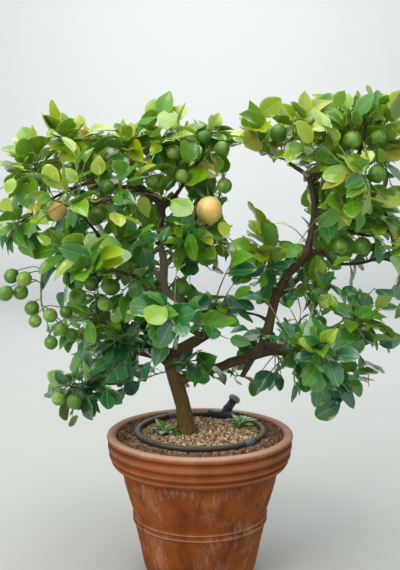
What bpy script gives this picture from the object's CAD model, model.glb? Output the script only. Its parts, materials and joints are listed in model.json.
"""A citrus tree in a terracotta pot, with a ring of drip pipe on its soil.

The script is laid out as an add-on. Tables and plans are in millimetres and finished pieces in metres.
"""
import itertools
import json
import math

import bpy
import numpy as np
from bpy.props import FloatProperty, FloatVectorProperty, IntProperty, PointerProperty
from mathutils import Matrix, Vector, kdtree, noise

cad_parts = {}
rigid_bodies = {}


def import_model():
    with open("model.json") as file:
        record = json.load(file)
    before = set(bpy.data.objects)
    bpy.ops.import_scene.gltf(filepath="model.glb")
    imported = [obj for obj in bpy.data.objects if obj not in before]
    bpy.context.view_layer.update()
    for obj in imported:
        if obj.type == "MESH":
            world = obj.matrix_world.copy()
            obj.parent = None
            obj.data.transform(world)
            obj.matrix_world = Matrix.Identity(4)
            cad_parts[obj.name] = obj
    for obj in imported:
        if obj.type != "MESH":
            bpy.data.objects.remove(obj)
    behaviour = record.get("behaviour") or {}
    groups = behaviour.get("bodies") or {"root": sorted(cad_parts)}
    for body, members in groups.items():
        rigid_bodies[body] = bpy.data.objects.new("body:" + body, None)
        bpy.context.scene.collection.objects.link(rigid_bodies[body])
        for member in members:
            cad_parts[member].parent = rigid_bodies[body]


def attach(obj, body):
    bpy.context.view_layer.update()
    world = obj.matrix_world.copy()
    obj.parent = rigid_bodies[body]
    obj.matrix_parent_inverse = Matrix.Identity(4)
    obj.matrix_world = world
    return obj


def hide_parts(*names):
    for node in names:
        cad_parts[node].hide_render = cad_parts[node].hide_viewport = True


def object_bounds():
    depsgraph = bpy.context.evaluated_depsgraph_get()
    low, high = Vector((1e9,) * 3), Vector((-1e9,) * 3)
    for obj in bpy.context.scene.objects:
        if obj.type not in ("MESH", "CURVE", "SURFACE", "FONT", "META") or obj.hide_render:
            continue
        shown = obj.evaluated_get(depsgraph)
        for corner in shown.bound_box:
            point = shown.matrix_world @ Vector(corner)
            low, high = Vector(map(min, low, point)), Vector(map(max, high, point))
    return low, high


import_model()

bl_info = {
    "name": "Potted citrus tree",
    "version": (1, 0, 0),
    "blender": (4, 5, 0),
    "location": "3D View > Sidebar > Citrus",
    "description": "Makes a citrus tree in a terracotta pot with its fruit, soil and drip ring",
    "category": "Add Mesh",
}

CAD_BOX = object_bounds()
MM = 0.001
UP = np.array([0.0, 0.0, 1.0])
GAP = 0.35   # left between pieces that only lie on each other
POT_RADIUS = 261
POT_HEIGHT = 400
SOIL_LEVEL = 392

# The camera's place and lens. The crown's openings are seen from there too.
EYE = np.array([0.0, -2206.0, 1031.0])
LENS, SENSOR_WIDTH, LOOKING_DOWN = 72, 36, 5.67

# The drip ring, in millimetres and in degrees from +X towards the back.
RING_RADIUS = 177
RING_LEVEL = SOIL_LEVEL + 8 + GAP
TEE_ANGLE = 66.5
TEE_HALF_ANGLE = 15.5
BRANCH_TIP = (101, 176, 442)
SLEEVE_HALF_ANGLE = 5.5
SLEEVE_ANGLES = {"drip_sleeve_front": -43, "drip_sleeve_back": 118}

# How leaves stand, in millimetres and degrees, as in the part's solids.
PETIOLE = 11
TIP_REACH = 46
LEAF_LENGTH = 66
LEAF_SPREAD = 0.68
GOLDEN_ANGLE = 137.5
LEAF_CLEARANCE = 13
LOWEST_LEAF = 412

# Where each stream of draws starts; the pieces of a kind count on from there.
SEEDS = {"spray": 1, "spray_leaf": 300, "fill": 500, "fill_leaf": 700, "twig": 11, "twig_leaf": 800,
         "top": 12, "top_leaf": 900, "fruit": 900, "weed": 950, "tie": 60, "chip": 40}

# Limbs of bark: points with the radius at each, from the thick end.
LIMBS = {
    "main": ((-36, 0, 310, 24), (-36, 0, 384, 28), (-40, 0, 415, 23), (-47, 0, 465, 21),
        (-60, 0, 515, 20.5), (-74, 0, 560, 20), (-80, 0, 598, 18.5), (-60, -5, 630, 16),
        (-12, -15, 658, 14.5), (34, -15, 690, 12.5), (24, -5, 726, 11.5), (-22, 0, 758, 11.5),
        (-75, 5, 780, 11.5), (-98, 10, 808, 11), (-100, 10, 855, 11), (-104, 12, 905, 11)),
    "leader": ((-103, 12, 885, 8), (-110, 15, 955, 8), (-105, 20, 1025, 8.5), (-135, 15, 1055, 7.5),
        (-170, 5, 1080, 6.5), (-225, -10, 1082, 6), (-280, -20, 1095, 5), (-335, -30, 1080, 4.5),
        (-405, -40, 1045, 4), (-455, -50, 1005, 3.5)),
    "leader_stub": ((-105, 20, 1025, 8.5), (-75, 15, 1050, 6.5), (-45, 10, 1090, 5), (-10, -5, 1140, 4),
        (-5, -5, 1180, 3.4)),
    "twig_top_left": ((-280, -20, 1095, 4.5), (-297, -20, 1103, 4.2), (-315, -15, 1125, 3.6),
        (-330, -10, 1145, 3)),
    "crown_fork": ((-172, 5, 1080, 5.5), (-188, 15, 1110, 5), (-195, 20, 1150, 4)),
    "right_low": ((-68, 0, 540, 14), (0, -10, 565, 13.5), (55, -20, 585, 13), (95, -30, 603, 13.5),
        (140, -35, 615, 14)),
    "right_up": ((125, -35, 612, 13), (168, -40, 645, 14), (185, -37, 690, 14), (196, -32, 735, 13.5),
        (210, -25, 785, 12.5), (240, -15, 840, 11.5), (275, -5, 875, 11.5), (295, 0, 905, 10.5),
        (309, 8, 970, 8.5), (315, 10, 1030, 8.2), (306, 10, 1085, 7.5), (288, 5, 1117, 6.5),
        (242, 0, 1150, 5), (252, -4, 1178, 4.5), (250, -5, 1215, 3.6)),
    "right_side": ((290, 5, 1115, 6), (335, 5, 1115, 5), (380, 0, 1135, 5), (425, -10, 1160, 4.6),
        (443, -15, 1212, 4), (447, -20, 1250, 3.4)),
    "right_arm": ((290, 0, 898, 9), (340, 10, 905, 7.5), (372, 15, 873, 5), (440, 20, 870, 4.5),
        (500, 15, 884, 4), (555, 10, 870, 3.4)),
    "right_mid": ((313, 9, 975, 6.5), (345, 0, 960, 5), (370, -10, 980, 4.5), (395, -25, 1020, 4.2),
        (430, -35, 1035, 3.6)),
    "right_mid_far": ((370, -10, 980, 4.5), (420, -30, 958, 4), (460, -40, 950, 4.2),
        (500, -45, 963, 3.8), (535, -50, 945, 3.2)),
    "right_bottom": ((130, -35, 613, 11), (200, -60, 635, 9), (260, -85, 630, 7), (305, -100, 630, 6),
        (350, -110, 643, 5), (405, -110, 650, 4.4), (425, -110, 675, 3.6)),
    "cut_stub": ((145, -35, 612, 8), (115, -40, 562, 7)),
    "left_arm": ((-100, 10, 835, 7.5), (-130, 5, 850, 6.5), (-165, -5, 860, 6), (-190, -20, 880, 5.5),
        (-240, -35, 915, 5), (-300, -50, 985, 4), (-325, -60, 1015, 3.4)),
    "left_hang": ((-270, -42, 948, 4.5), (-325, -60, 938, 4.2), (-357, -75, 893, 3.8),
        (-415, -85, 870, 3.4)),
    "left_low": ((-80, 0, 585, 13), (-130, -30, 628, 9), (-185, -60, 648, 7), (-228, -80, 643, 6),
        (-270, -95, 600, 5), (-295, -105, 565, 4)),
    "left_mid": ((-65, -5, 622, 10), (-120, -25, 642, 8), (-140, -35, 680, 7), (-168, -45, 703, 6),
        (-220, -60, 705, 5), (-270, -75, 720, 4)),
    "centre_arm": ((-100, 10, 870, 6.5), (-65, 0, 885, 5.5), (-12, -20, 877, 5), (10, -25, 910, 4.6),
        (25, -25, 945, 4)),
    "centre_twig": ((188, -35, 715, 6), (160, -50, 733, 4), (120, -70, 745, 3.6), (80, -85, 755, 3)),
    "back_centre": ((-100, 10, 860, 8), (-65, 90, 900, 7), (-20, 190, 965, 6), (-5, 280, 1050, 5),
        (0, 330, 1125, 4)),
    "back_left": ((-75, 5, 780, 8), (-145, 100, 795, 7), (-240, 200, 840, 6), (-350, 290, 895, 4.5),
        (-405, 330, 935, 3.6)),
    "back_right": ((210, -25, 785, 9), (255, 70, 800, 8), (325, 170, 845, 6.5), (405, 270, 925, 5),
        (445, 320, 990, 3.8)),
    "back_right_low": ((150, -35, 625, 9), (195, 60, 620, 8), (270, 160, 615, 6.5), (360, 250, 630, 5),
        (420, 300, 650, 3.8)),
    "back_top_right": ((305, 10, 1085, 6.5), (340, 90, 1125, 5.5), (390, 180, 1190, 4.8),
        (425, 250, 1260, 3.8)),
    "back_top_left": ((-135, 15, 1055, 6.5), (-170, 100, 1090, 6), (-245, 190, 1135, 5),
        (-320, 270, 1175, 3.8)),
    "back_left_low": ((-80, 0, 590, 11), (-140, 90, 595, 8), (-225, 180, 595, 6.5),
        (-305, 260, 605, 4.5), (-350, 295, 620, 3.6)),
    "front_centre": ((10, -15, 672, 8), (-10, -110, 695, 7), (-35, -200, 725, 5.5),
        (-55, -270, 755, 4)),
    "front_left": ((-98, 10, 808, 8), (-130, -90, 830, 7), (-180, -180, 855, 5.5),
        (-220, -260, 875, 4)),
    "front_right_low": ((175, -40, 655, 8), (190, -120, 665, 7), (225, -200, 670, 5.5),
        (255, -270, 670, 4)),
    "front_right_up": ((311, 9, 985, 6.5), (330, -70, 1010, 5.5), (360, -150, 1045, 4.8),
        (375, -220, 1070, 3.8)),
    "front_left_up": ((-165, 5, 1077, 6), (-195, -80, 1060, 5), (-235, -160, 1045, 4.4),
        (-265, -230, 1030, 3.6)),
}

# Leafy sprays: a green stem from the nearest limb, and its shoots' tips, each with its number of
# leaves and its age, from 0 (young and upright) to 2 (old and drooping).
SPRAYS = {
    "crown_far_left": (((-405, -40, 1045), (-425, -45, 1085), (-445, -50, 1120)),
        ((-495, -60, 1190, 9, 0.2), (-500, -110, 1105, 8, 0.4), (-455, 10, 1235, 9, 0),
         (-415, 50, 1165, 8, 0.4))),
    "crown_left_top": (((-330, -10, 1145), (-345, -10, 1175), (-350, -10, 1200)),
        ((-360, -20, 1260, 8, 0), (-420, -60, 1195, 8, 0.2), (-305, 30, 1225, 8, 0.3),
         (-370, -120, 1185, 7, 0.4))),
    "crown_mid_left": (((-195, 20, 1150), (-200, 20, 1175), (-205, 20, 1195)),
        ((-190, 0, 1240, 8, 0.2), (-260, 70, 1210, 8, 0.6), (-150, -60, 1235, 8, 0.4),
         (-230, -90, 1145, 8, 1))),
    "crown_top_centre": (((-190, 15, 1110), (-150, 25, 1145), (-120, 30, 1185)),
        ((-120, 30, 1300, 9, 0), (-170, 100, 1280, 8, 0.3), (-65, -20, 1270, 9, 0.2),
         (-90, -110, 1200, 8, 0.8))),
    "crown_centre_right": (((-5, -5, 1180), (0, 5, 1200), (5, 10, 1220)),
        ((20, 10, 1280, 8, 0), (-40, 100, 1250, 8, 0.5), (85, 30, 1245, 9, 0.3),
         (-20, -100, 1190, 8, 0.8))),
    "centre_high": (((25, -25, 945), (40, 10, 985), (50, 30, 1035)),
        ((60, 20, 1110, 8, 0.9), (-10, 70, 1095, 8, 1), (-10, -10, 1015, 7, 1),
         (70, -90, 975, 7, 0.3))),
    "young_shoot": (((210, -25, 790), (200, -40, 850), (170, -55, 910)),
        ((155, -60, 1005, 9, 0), (225, -20, 970, 7, 0), (115, -90, 940, 8, 0.2),
         (240, 20, 890, 6, 0.8))),
    "crown_right_near": (((245, 0, 1155), (200, -10, 1165), (160, -20, 1190)),
        ((155, -30, 1270, 8, 0), (105, -10, 1270, 7, 0.3), (195, 50, 1235, 7, 0.5))),
    "crown_right_one": (((250, -5, 1210), (255, 0, 1230), (265, 0, 1250)),
        ((265, 0, 1315, 8, 0), (330, 30, 1325, 9, 0), (245, 70, 1270, 6, 0.3),
         (300, -90, 1250, 8, 0.8))),
    "crown_right_two": (((375, 0, 1130), (380, 10, 1180), (385, 20, 1225)),
        ((385, 0, 1325, 9, 0.1), (355, 80, 1250, 8, 0.8), (390, -90, 1260, 8, 0.5),
         (325, -70, 1160, 7, 0.2))),
    "crown_right_three": (((445, -20, 1250), (450, -20, 1270), (455, -20, 1290)),
        ((450, -10, 1340, 8, 0), (510, 20, 1335, 9, 0), (525, -50, 1295, 8, 0.1),
         (440, 90, 1340, 8, 0.2))),
    "crown_right_four": (((425, -10, 1165), (465, 0, 1160), (495, 5, 1170)),
        ((530, 30, 1250, 8, 0.3), (510, -60, 1140, 9, 0.6), (565, 40, 1195, 8, 0.5),
         (445, -110, 1105, 8, 0.8))),
    "right_middle": (((430, -35, 1035), (455, -35, 1025), (480, -30, 1015)),
        ((410, -90, 990, 8, 0.5), (545, 20, 1025, 8, 1), (500, 60, 1080, 8, 0.5),
         (505, -100, 950, 8, 0.7))),
    "right_under": (((215, -20, 800), (260, -35, 805), (305, -45, 810)),
        ((380, -60, 835, 9, 1.1), (330, -110, 780, 8, 0.7), (315, 40, 855, 7, 0.8))),
    "right_stand": (((405, -110, 650), (405, -110, 685), (405, -110, 725)),
        ((430, -110, 805, 9, 1.1), (515, -80, 780, 8, 0.6), (530, -50, 695, 8, 0.9),
         (375, -160, 745, 7, 1.2))),
    "right_droop": (((345, -110, 645), (360, -115, 620), (365, -120, 585)),
        ((270, -160, 600, 8, 2), (320, -140, 520, 8, 2), (400, -110, 510, 9, 2),
         (440, -60, 570, 8, 1.9))),
    "low_right": (((200, -60, 635), (215, -90, 620), (220, -110, 600)),
        ((150, -130, 550, 7, 2), (245, -160, 570, 8, 1.8), (180, -130, 690, 8, 1.1),
         (290, -60, 675, 8, 1))),
    "low_centre": (((0, -10, 565), (-5, -70, 605), (-10, -110, 625)),
        ((-25, -150, 560, 7, 2), (-90, -150, 610, 8, 2), (65, -140, 640, 7, 1.2))),
    "centre_middle": (((80, -85, 755), (65, -95, 770), (40, -100, 780)),
        ((120, -110, 805, 8, 1), (-5, -110, 805, 8, 1.2), (55, -150, 700, 8, 1.6))),
    "centre_upper": (((-65, 0, 885), (-45, -40, 920), (-30, -70, 945)),
        ((-55, -60, 1030, 9, 0.8), (-70, -150, 950, 8, 1.1), (40, -110, 955, 9, 0.7),
         (25, -120, 870, 7, 1.1))),
    "left_pale": (((-190, -20, 880), (-205, -70, 900), (-215, -110, 915)),
        ((-215, -140, 1000, 9, 0.7), (-280, -150, 930, 8, 1), (-150, -150, 935, 8, 0.9))),
    "left_high": (((-325, -60, 1015), (-340, -80, 1025), (-350, -95, 1030)),
        ((-360, -110, 1080, 8, 0.3), (-295, -150, 975, 8, 1), (-410, -110, 965, 9, 1))),
    "left_far": (((-455, -50, 1005), (-480, -50, 990), (-500, -50, 980)),
        ((-530, -50, 1035, 8, 0.7), (-535, -20, 925, 8, 1), (-465, -100, 925, 8, 1.1),
         (-505, 40, 1045, 8, 0.5))),
    "left_bottom": (((-295, -105, 565), (-310, -110, 560), (-320, -110, 545)),
        ((-395, -130, 550, 9, 1.9), (-320, -110, 660, 8, 1.5), (-335, -120, 480, 8, 2),
         (-260, -140, 495, 9, 1.9), (-220, -90, 540, 8, 1.7))),
    "left_centre_low": (((-220, -60, 705), (-215, -100, 685), (-205, -130, 670)),
        ((-170, -170, 590, 8, 1.9), (-240, -160, 660, 8, 1.6), (-275, -110, 705, 8, 1.2),
         (-145, -180, 690, 7, 1.4))),
    "front_left_spray": (((-215, -255, 875), (-240, -275, 885), (-260, -285, 895)),
        ((-330, -300, 910, 9, 0.9), (-245, -320, 955, 8, 0.6), (-275, -320, 845, 9, 1.2))),
    "front_centre_spray": (((-50, -265, 750), (-70, -285, 765), (-80, -300, 775)),
        ((-130, -330, 800, 9, 1), (-75, -330, 840, 8, 0.8), (-25, -360, 740, 8, 1.4))),
    "front_right_spray": (((250, -260, 670), (275, -280, 670), (290, -290, 670)),
        ((365, -300, 655, 9, 1.5), (300, -320, 735, 8, 1), (275, -330, 610, 9, 1.9))),
    "front_right_top": (((375, -215, 1070), (385, -230, 1090), (400, -240, 1105)),
        ((445, -250, 1140, 9, 0.4), (385, -260, 1165, 8, 0.4), (420, -280, 1055, 9, 0.9))),
    "front_left_top": (((-265, -225, 1030), (-285, -240, 1040), (-295, -250, 1050)),
        ((-355, -260, 1080, 9, 0.4), (-270, -270, 1110, 8, 0.3), (-320, -280, 990, 9, 1))),
    "back_centre_spray": (((0, 325, 1115), (-5, 340, 1155), (-15, 350, 1185)),
        ((40, 350, 1280, 9, 0.3), (-75, 390, 1265, 9, 0.4), (20, 430, 1160, 8, 0.8),
         (-65, 330, 1125, 8, 0.8))),
    "back_left_spray": (((-400, 325, 930), (-425, 345, 955), (-450, 360, 970)),
        ((-530, 370, 1030, 9, 0.6), (-435, 400, 1080, 9, 0.5), (-520, 390, 885, 9, 1.1),
         (-365, 420, 1005, 8, 0.9))),
    "back_right_spray": (((445, 315, 990), (470, 335, 1015), (485, 350, 1040)),
        ((575, 360, 1100, 9, 0.6), (470, 400, 1120, 8, 0.6), (595, 390, 980, 9, 1),
         (460, 420, 965, 8, 1))),
    "back_right_bottom": (((415, 295, 650), (445, 315, 660), (465, 330, 675)),
        ((580, 340, 680, 9, 1.2), (490, 380, 740, 8, 0.9), (460, 380, 575, 9, 1.7))),
    "back_right_top": (((425, 245, 1255), (430, 260, 1285), (440, 275, 1310)),
        ((510, 290, 1345, 9, 0.2), (385, 310, 1330, 9, 0.2), (480, 350, 1250, 8, 0.8))),
    "back_left_top": (((-315, 265, 1175), (-340, 280, 1195), (-360, 290, 1215)),
        ((-430, 300, 1270, 9, 0.2), (-315, 320, 1285, 9, 0.2), (-395, 360, 1180, 8, 0.7))),
    "back_left_bottom": (((-345, 290, 620), (-370, 310, 630), (-390, 325, 635)),
        ((-480, 340, 635, 8, 1.4), (-400, 370, 705, 9, 1), (-365, 370, 540, 9, 1.7))),
}

# Fruiting twigs: a stem from the nearest limb, and each fruit's centre and radius.
BUNCHES = {
    "ripe_lemon": (((-5, -5, 1150), (15, -28, 1125), (18, -50, 1080)),
        ((25, -55, 1020, 36),)),
    "ripe_lemon_left": (((-335, -30, 1080), (-360, -45, 1075), (-375, -60, 1050)),
        ((-380, -60, 1020, 27),)),
    "green_left_bunch": (((-415, -85, 870), (-420, -95, 840), (-421, -100, 780), (-415, -100, 750)),
        ((-500, -90, 845, 20), (-460, -120, 840, 20), (-515, -100, 800, 21), (-480, -75, 800, 20),
         (-450, -80, 758, 20), (-435, -115, 728, 17), (-393, -125, 745, 19), (-395, -110, 670, 18),
         (-358, -85, 748, 17), (-365, -125, 708, 18), (-343, -90, 688, 17))),
    "green_mid_left": (((-270, -75, 720), (-275, -100, 755), (-275, -115, 785)),
        ((-318, -140, 795, 23), (-287, -100, 825, 20), (-232, -130, 820, 23), (-245, -165, 780, 19))),
    "green_low_pair": (((-271, -95, 598), (-310, -140, 596), (-347, -160, 560)),
        ((-370, -150, 528, 18), (-328, -160, 523, 20))),
    "green_upper_left": (((-235, -10, 1080), (-255, -40, 1055), (-265, -55, 1040)),
        ((-245, -62, 1080, 20), (-275, -75, 1003, 22))),
    "green_top_centre": (((-135, 15, 1055), (-110, -30, 1100), (-85, -45, 1130)),
        ((-128, -60, 1095, 17), (-48, -50, 1110, 18), (-70, -55, 1172, 19))),
    "green_centre": (((-5, -5, 1165), (30, -25, 1170), (55, -30, 1140)),
        ((10, -45, 1215, 19), (58, -58, 1182, 20), (66, -35, 1085, 20))),
    "green_right_near": (((250, -5, 1210), (230, -15, 1195), (212, -22, 1196)),
        ((210, -25, 1225, 23),)),
    "green_right_top": (((440, -10, 1195), (445, -35, 1185), (450, -48, 1170)),
        ((405, -50, 1205, 24), (472, -60, 1212, 20), (470, -60, 1115, 23))),
    "green_right_mid": (((430, -35, 960), (415, -50, 955), (400, -62, 955)),
        ((432, -78, 925, 23), (375, -78, 925, 20))),
    "green_centre_low": (((-88, 8, 800), (-72, -15, 822), (-65, -35, 838)),
        ((-52, -48, 810, 25),)),
}

# Spaces kept open by pruning, as cones from EYE: the place on the plane y = 0 and the radius there.
OPENINGS = (
    (170, 1100, 65), (115, 1160, 30), (110, 1075, 35), (250, 1035, 40), (265, 960, 30), (235, 1095, 45),
    (510, 840, 35), (470, 825, 25), (20, 830, 30), (60, 810, 20), (60, 645, 30), (55, 505, 35),
    (115, 480, 40), (-145, 475, 40), (-205, 445, 30), (-475, 675, 35), (235, 730, 20), (275, 750, 20),
    (375, 720, 20), (-400, 810, 25), (-385, 595, 25), (-250, 1280, 25), (-20, 1290, 20), (75, 1300, 20),
    (98, 1010, 32), (190, 610, 35), (-160, 610, 18), (-85, 555, 18), (245, 560, 20), (480, 620, 22),
)

# The same, open only in front of a limb that shows: place, radius and the limb's y.
SIGHTS = (
    (-65, 540, 25, -20), (-50, 500, 30, -20), (-40, 455, 30, -20), (-35, 405, 25, -20),
    (-55, 630, 20, -25), (-30, 645, 20, -30), (-5, 665, 15, -30), (75, 585, 20, -40),
    (-100, 890, 20, -5), (-100, 855, 20, -5), (-100, 820, 20, -5), (230, 810, 15, -35),
    (250, 850, 15, -30), (275, 875, 20, -20), (300, 910, 20, -10), (305, 945, 15, -10),
    (310, 980, 15, -10), (315, 1015, 15, -10), (315, 1050, 15, -10), (300, 1090, 15, -10),
    (285, 1120, 15, -10), (250, 1145, 10, -10), (175, 645, 15, -50), (185, 685, 15, -50),
    (-380, 1060, 15, -55), (-345, 1075, 15, -50), (-310, 1090, 15, -40), (-285, 1100, 15, -35),
    (-315, 1130, 10, -30), (-110, 1035, 20, 5), (-135, 1055, 15, 0), (-155, 1080, 15, -10),
    (20, 1075, 15, -70), (-440, 810, 10, -100), (-440, 770, 10, -100), (440, 875, 15, 0),
    (480, 880, 15, 0), (120, 550, 10, -60),
)

# Weeds: the place of the stem and the usual length of a leaf.
WEEDS = {"weed_left": ((-98, -18), 35), "weed_right": ((118, 62), 30)}


# ---------------------------------------------------------------- sizes and colours that may be changed
def colour(text):
    """Linear RGBA of an sRGB hex colour."""
    parts = [int(text[i:i + 2], 16) / 255 for i in (1, 3, 5)]
    linear = [c / 12.92 if c <= 0.04045 else ((c + 0.055) / 1.055) ** 2.4 for c in parts]
    return (*linear, 1.0)


def size_prop(name, description, default):
    """A length property."""
    return FloatProperty(name=name, description=description, default=default, unit="LENGTH")


def colour_prop(name, description, text):
    """A colour property with an sRGB hex default."""
    return FloatVectorProperty(name=name, description=description, default=colour(text),
                               subtype="COLOR", size=4, min=0, max=1)


class CitrusSizes(bpy.types.PropertyGroup):
    """Sizes of the finer pieces."""
    pot_radius: size_prop("Pot radius", "Radius of the pot over its lip", POT_RADIUS * MM)
    pot_height: size_prop("Pot height", "Height of the pot", CAD_BOX[0][2] + POT_HEIGHT * MM)
    grain: size_prop("Grain size", "Usual radius of a grain of grit", 0.0036)
    grain_count: IntProperty(name="Grains per square metre", default=28000, min=0,
                             description="How densely grit covers the soil")
    bark_voxel: size_prop("Bark detail", "Grid size in which the limbs grow together", 0.0026)
    stem_sides: IntProperty(name="Stem sides", description="Sides of a green stem", default=6, min=3)


class CitrusColours(bpy.types.PropertyGroup):
    """Main colours of the materials."""
    clay: colour_prop("Clay", "Fired clay of the pot's body", "#8C4812")
    clay_lip: colour_prop("Clay lip", "Paler, worn clay of the lip and rings", "#E4BCA8")
    young_leaf: colour_prop("Young leaf", "Leaves at the tips of the crown", "#97AB0C")
    leaf: colour_prop("Leaf", "Full-grown leaves", "#3C801C")
    old_leaf: colour_prop("Old leaf", "Old leaves low in the crown", "#065236")
    green_peel: colour_prop("Green peel", "Peel of unripe fruit", "#578526")
    ripe_peel: colour_prop("Ripe peel", "Peel of ripe fruit", "#ECC168")
    bark: colour_prop("Bark", "Bark of the trunk", "#7E6F50")
    pipe: colour_prop("Pipe", "Drip pipe", "#33302C")


# ---------------------------------------------------------------- small tools
def draws(seed):
    """A repeatable stream of draws from 0 to 1."""
    modulus, factor = 2 ** 31 - 1, 48271
    state = (seed * 7919 + 12345) % modulus
    while True:
        state = state * factor % modulus
        yield state / modulus


def unit(vector):
    """The vector at length 1."""
    return vector / max(np.linalg.norm(vector), 1e-9)


def smooth(points, t):
    """A point on a smooth curve through points, which may carry a radius as a fourth number."""
    points = np.asarray(points, float)
    spans = len(points) - 1
    i = min(int(t * spans), spans - 1)
    w = t * spans - i
    b, c = points[i], points[i + 1]
    a = points[i - 1] if i > 0 else 2 * b - c
    d = points[i + 2] if i + 2 <= spans else 2 * c - b
    return 0.5 * (2 * b + (c - a) * w + (2 * a - 5 * b + 4 * c - d) * w ** 2
                  + (3 * b - a - 3 * c + d) * w ** 3)


def samples(points, count):
    """Points at even steps along the smooth curve."""
    return np.array([smooth(points, i / count) for i in range(count + 1)])


def tapered(line, thick, thin):
    """The line's points with a radius that runs from thick to thin."""
    return np.column_stack([line, np.linspace(thick, thin, len(line))])


def nearest(points, point):
    """Whichever of the points is nearest to a point."""
    return points[np.argmin(np.linalg.norm(points[:, :3] - np.asarray(point)[:3], axis=1))]


def fill(node, *values, **named):
    """Fills a node's inputs, in order or by name: a value, a hex colour, a socket or a node for each."""
    sockets = [socket for socket in node.inputs if socket.enabled]
    by_name = {socket.name.replace(" ", "_"): socket for socket in sockets}
    for socket, value in [*zip(sockets, values), *((by_name[name], named[name]) for name in named)]:
        if isinstance(value, bpy.types.Node):
            value = next(output for output in value.outputs if output.enabled)
        if isinstance(value, bpy.types.NodeSocket):
            node.id_data.links.new(value, socket)
        else:
            is_colour = isinstance(value, str) and value.startswith("#")
            socket.default_value = colour(value) if is_colour else value


def add(tree, kind, *values, **named):
    """Adds a node, of which names in lower case are settings and all else are inputs, for fill()."""
    node = tree.nodes.new(kind)
    for name in [name for name in named if name[0].islower()]:
        value = named.pop(name)
        if name != "stops":
            setattr(node, name, value)
            continue
        ramp = node.color_ramp.elements
        while len(ramp) < len(value):
            ramp.new(0.5)
        for element, (place_on, tint) in zip(ramp, value):
            element.position = place_on
            element.color = colour(tint) if isinstance(tint, str) else tint
    fill(node, *values, **named)
    return node


def new_material(name, **principled):
    """A material, its tree, its Principled shader with its even values, and Object coordinates."""
    material = bpy.data.materials.new(name)
    material.use_nodes = True
    tree = material.node_tree
    shader = tree.nodes["Principled BSDF"]
    fill(shader, **principled)
    return material, tree, shader, add(tree, "ShaderNodeTexCoord").outputs["Object"]


def link_object(name, data):
    """A new object in the scene."""
    piece = bpy.data.objects.new(name, data)
    bpy.context.scene.collection.objects.link(piece)
    return piece


def mesh_object(name, points, faces, attributes=(), edges=(), sharp=None, smooth_shaded=True):
    """A mesh object at the origin, with attributes of its points as (name, type, values)."""
    mesh = bpy.data.meshes.new(name)
    mesh.from_pydata(np.asarray(points).tolist(), list(edges), list(faces))
    for key, kind, values in attributes:
        layer = mesh.attributes.new(key, kind, "POINT")
        field = "vector" if kind == "FLOAT_VECTOR" else "value"
        layer.data.foreach_set(field, np.asarray(values).ravel())
    if smooth_shaded:
        mesh.shade_smooth()
    mesh.update()
    if sharp:
        mesh.set_sharp_from_angle(angle=math.radians(sharp))
    return link_object(name, mesh)


def plain_copy(piece, name):
    """The evaluated piece as a plain mesh object, in place of the piece and its modifiers."""
    graph = bpy.context.evaluated_depsgraph_get()
    mesh = bpy.data.meshes.new_from_object(piece.evaluated_get(graph), preserve_all_data_layers=True,
                                           depsgraph=graph)
    mesh.name = name
    bpy.data.objects.remove(piece)
    return link_object(name, mesh)


def place(piece, slot, *nodes):
    """The piece rides on the part's one body, in a material slot, and stands for its CAD nodes."""
    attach(piece, "root")
    if nodes:
        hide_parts(*nodes)
    return piece


def add_nodes_modifier(piece, group, values):
    """Gives the piece a Geometry Nodes modifier with its inputs, by the names of the tree's sockets."""
    modifier = piece.modifiers.new(group.name, "NODES")
    modifier.node_group = group
    for socket in group.interface.items_tree:
        if socket.in_out == "INPUT" and socket.name in values:
            modifier[socket.identifier] = values[socket.name]


def node_group(name, **inputs):
    """A Geometry Nodes tree with named inputs, its input node and its output node."""
    tree = bpy.data.node_groups.new(name, "GeometryNodeTree")
    tree.interface.new_socket("Geometry", in_out="INPUT", socket_type="NodeSocketGeometry")
    tree.interface.new_socket("Geometry", in_out="OUTPUT", socket_type="NodeSocketGeometry")
    for key, kind in inputs.items():
        tree.interface.new_socket(key.replace("_", " "), in_out="INPUT",
                                  socket_type=f"NodeSocket{kind}")
    return tree, tree.nodes.new("NodeGroupInput").outputs, tree.nodes.new("NodeGroupOutput")


def revolve(outline, sides, wobble=0.0):
    """Points and faces of an outline of (radius, height), turned round Z and closed on the axis."""
    angles = np.arange(sides) * 2 * math.pi / sides
    points, rings = [], []
    for radius, height in outline:
        if radius < 1e-6:
            rings.append([len(points)])
            points.append((0, 0, height))
            continue
        rings.append(list(range(len(points), len(points) + sides)))
        for angle in angles:
            uneven = 1 + wobble * math.sin(2 * angle + 0.7) + 0.6 * wobble * math.sin(3 * angle)
            reach = radius * uneven
            points.append((reach * math.cos(angle), reach * math.sin(angle), height))
    faces = []
    for low, high in zip(rings, rings[1:]):
        for k in range(sides):
            corners = [low[k % len(low)], low[(k + 1) % len(low)], high[(k + 1) % len(high)],
                       high[k % len(high)]]
            faces.append(list(dict.fromkeys(corners)))
    return np.array(points), faces


# ---------------------------------------------------------------- materials
# Heights on the pot's wall and how worn it is there: 0 in a dirty groove, 0.5 plain, 1 on a crest.
MOULDINGS = (
    (0.146, 0.5), (0.151, 0.25), (0.157, 0.68), (0.164, 0.1), (0.171, 0.68), (0.179, 0.25),
    (0.184, 0.5), (0.296, 0.5), (0.306, 0.25), (0.318, 0.5), (0.326, 0.6), (0.331, 0.05), (0.337, 0.5),
    (0.344, 0.56), (0.3525, 0.05), (0.359, 0.5), (0.367, 0.56), (0.374, 0.53), (0.380, 0.05),
    (0.386, 0.5), (0.394, 0.58), (0.400, 0.86),
)


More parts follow.
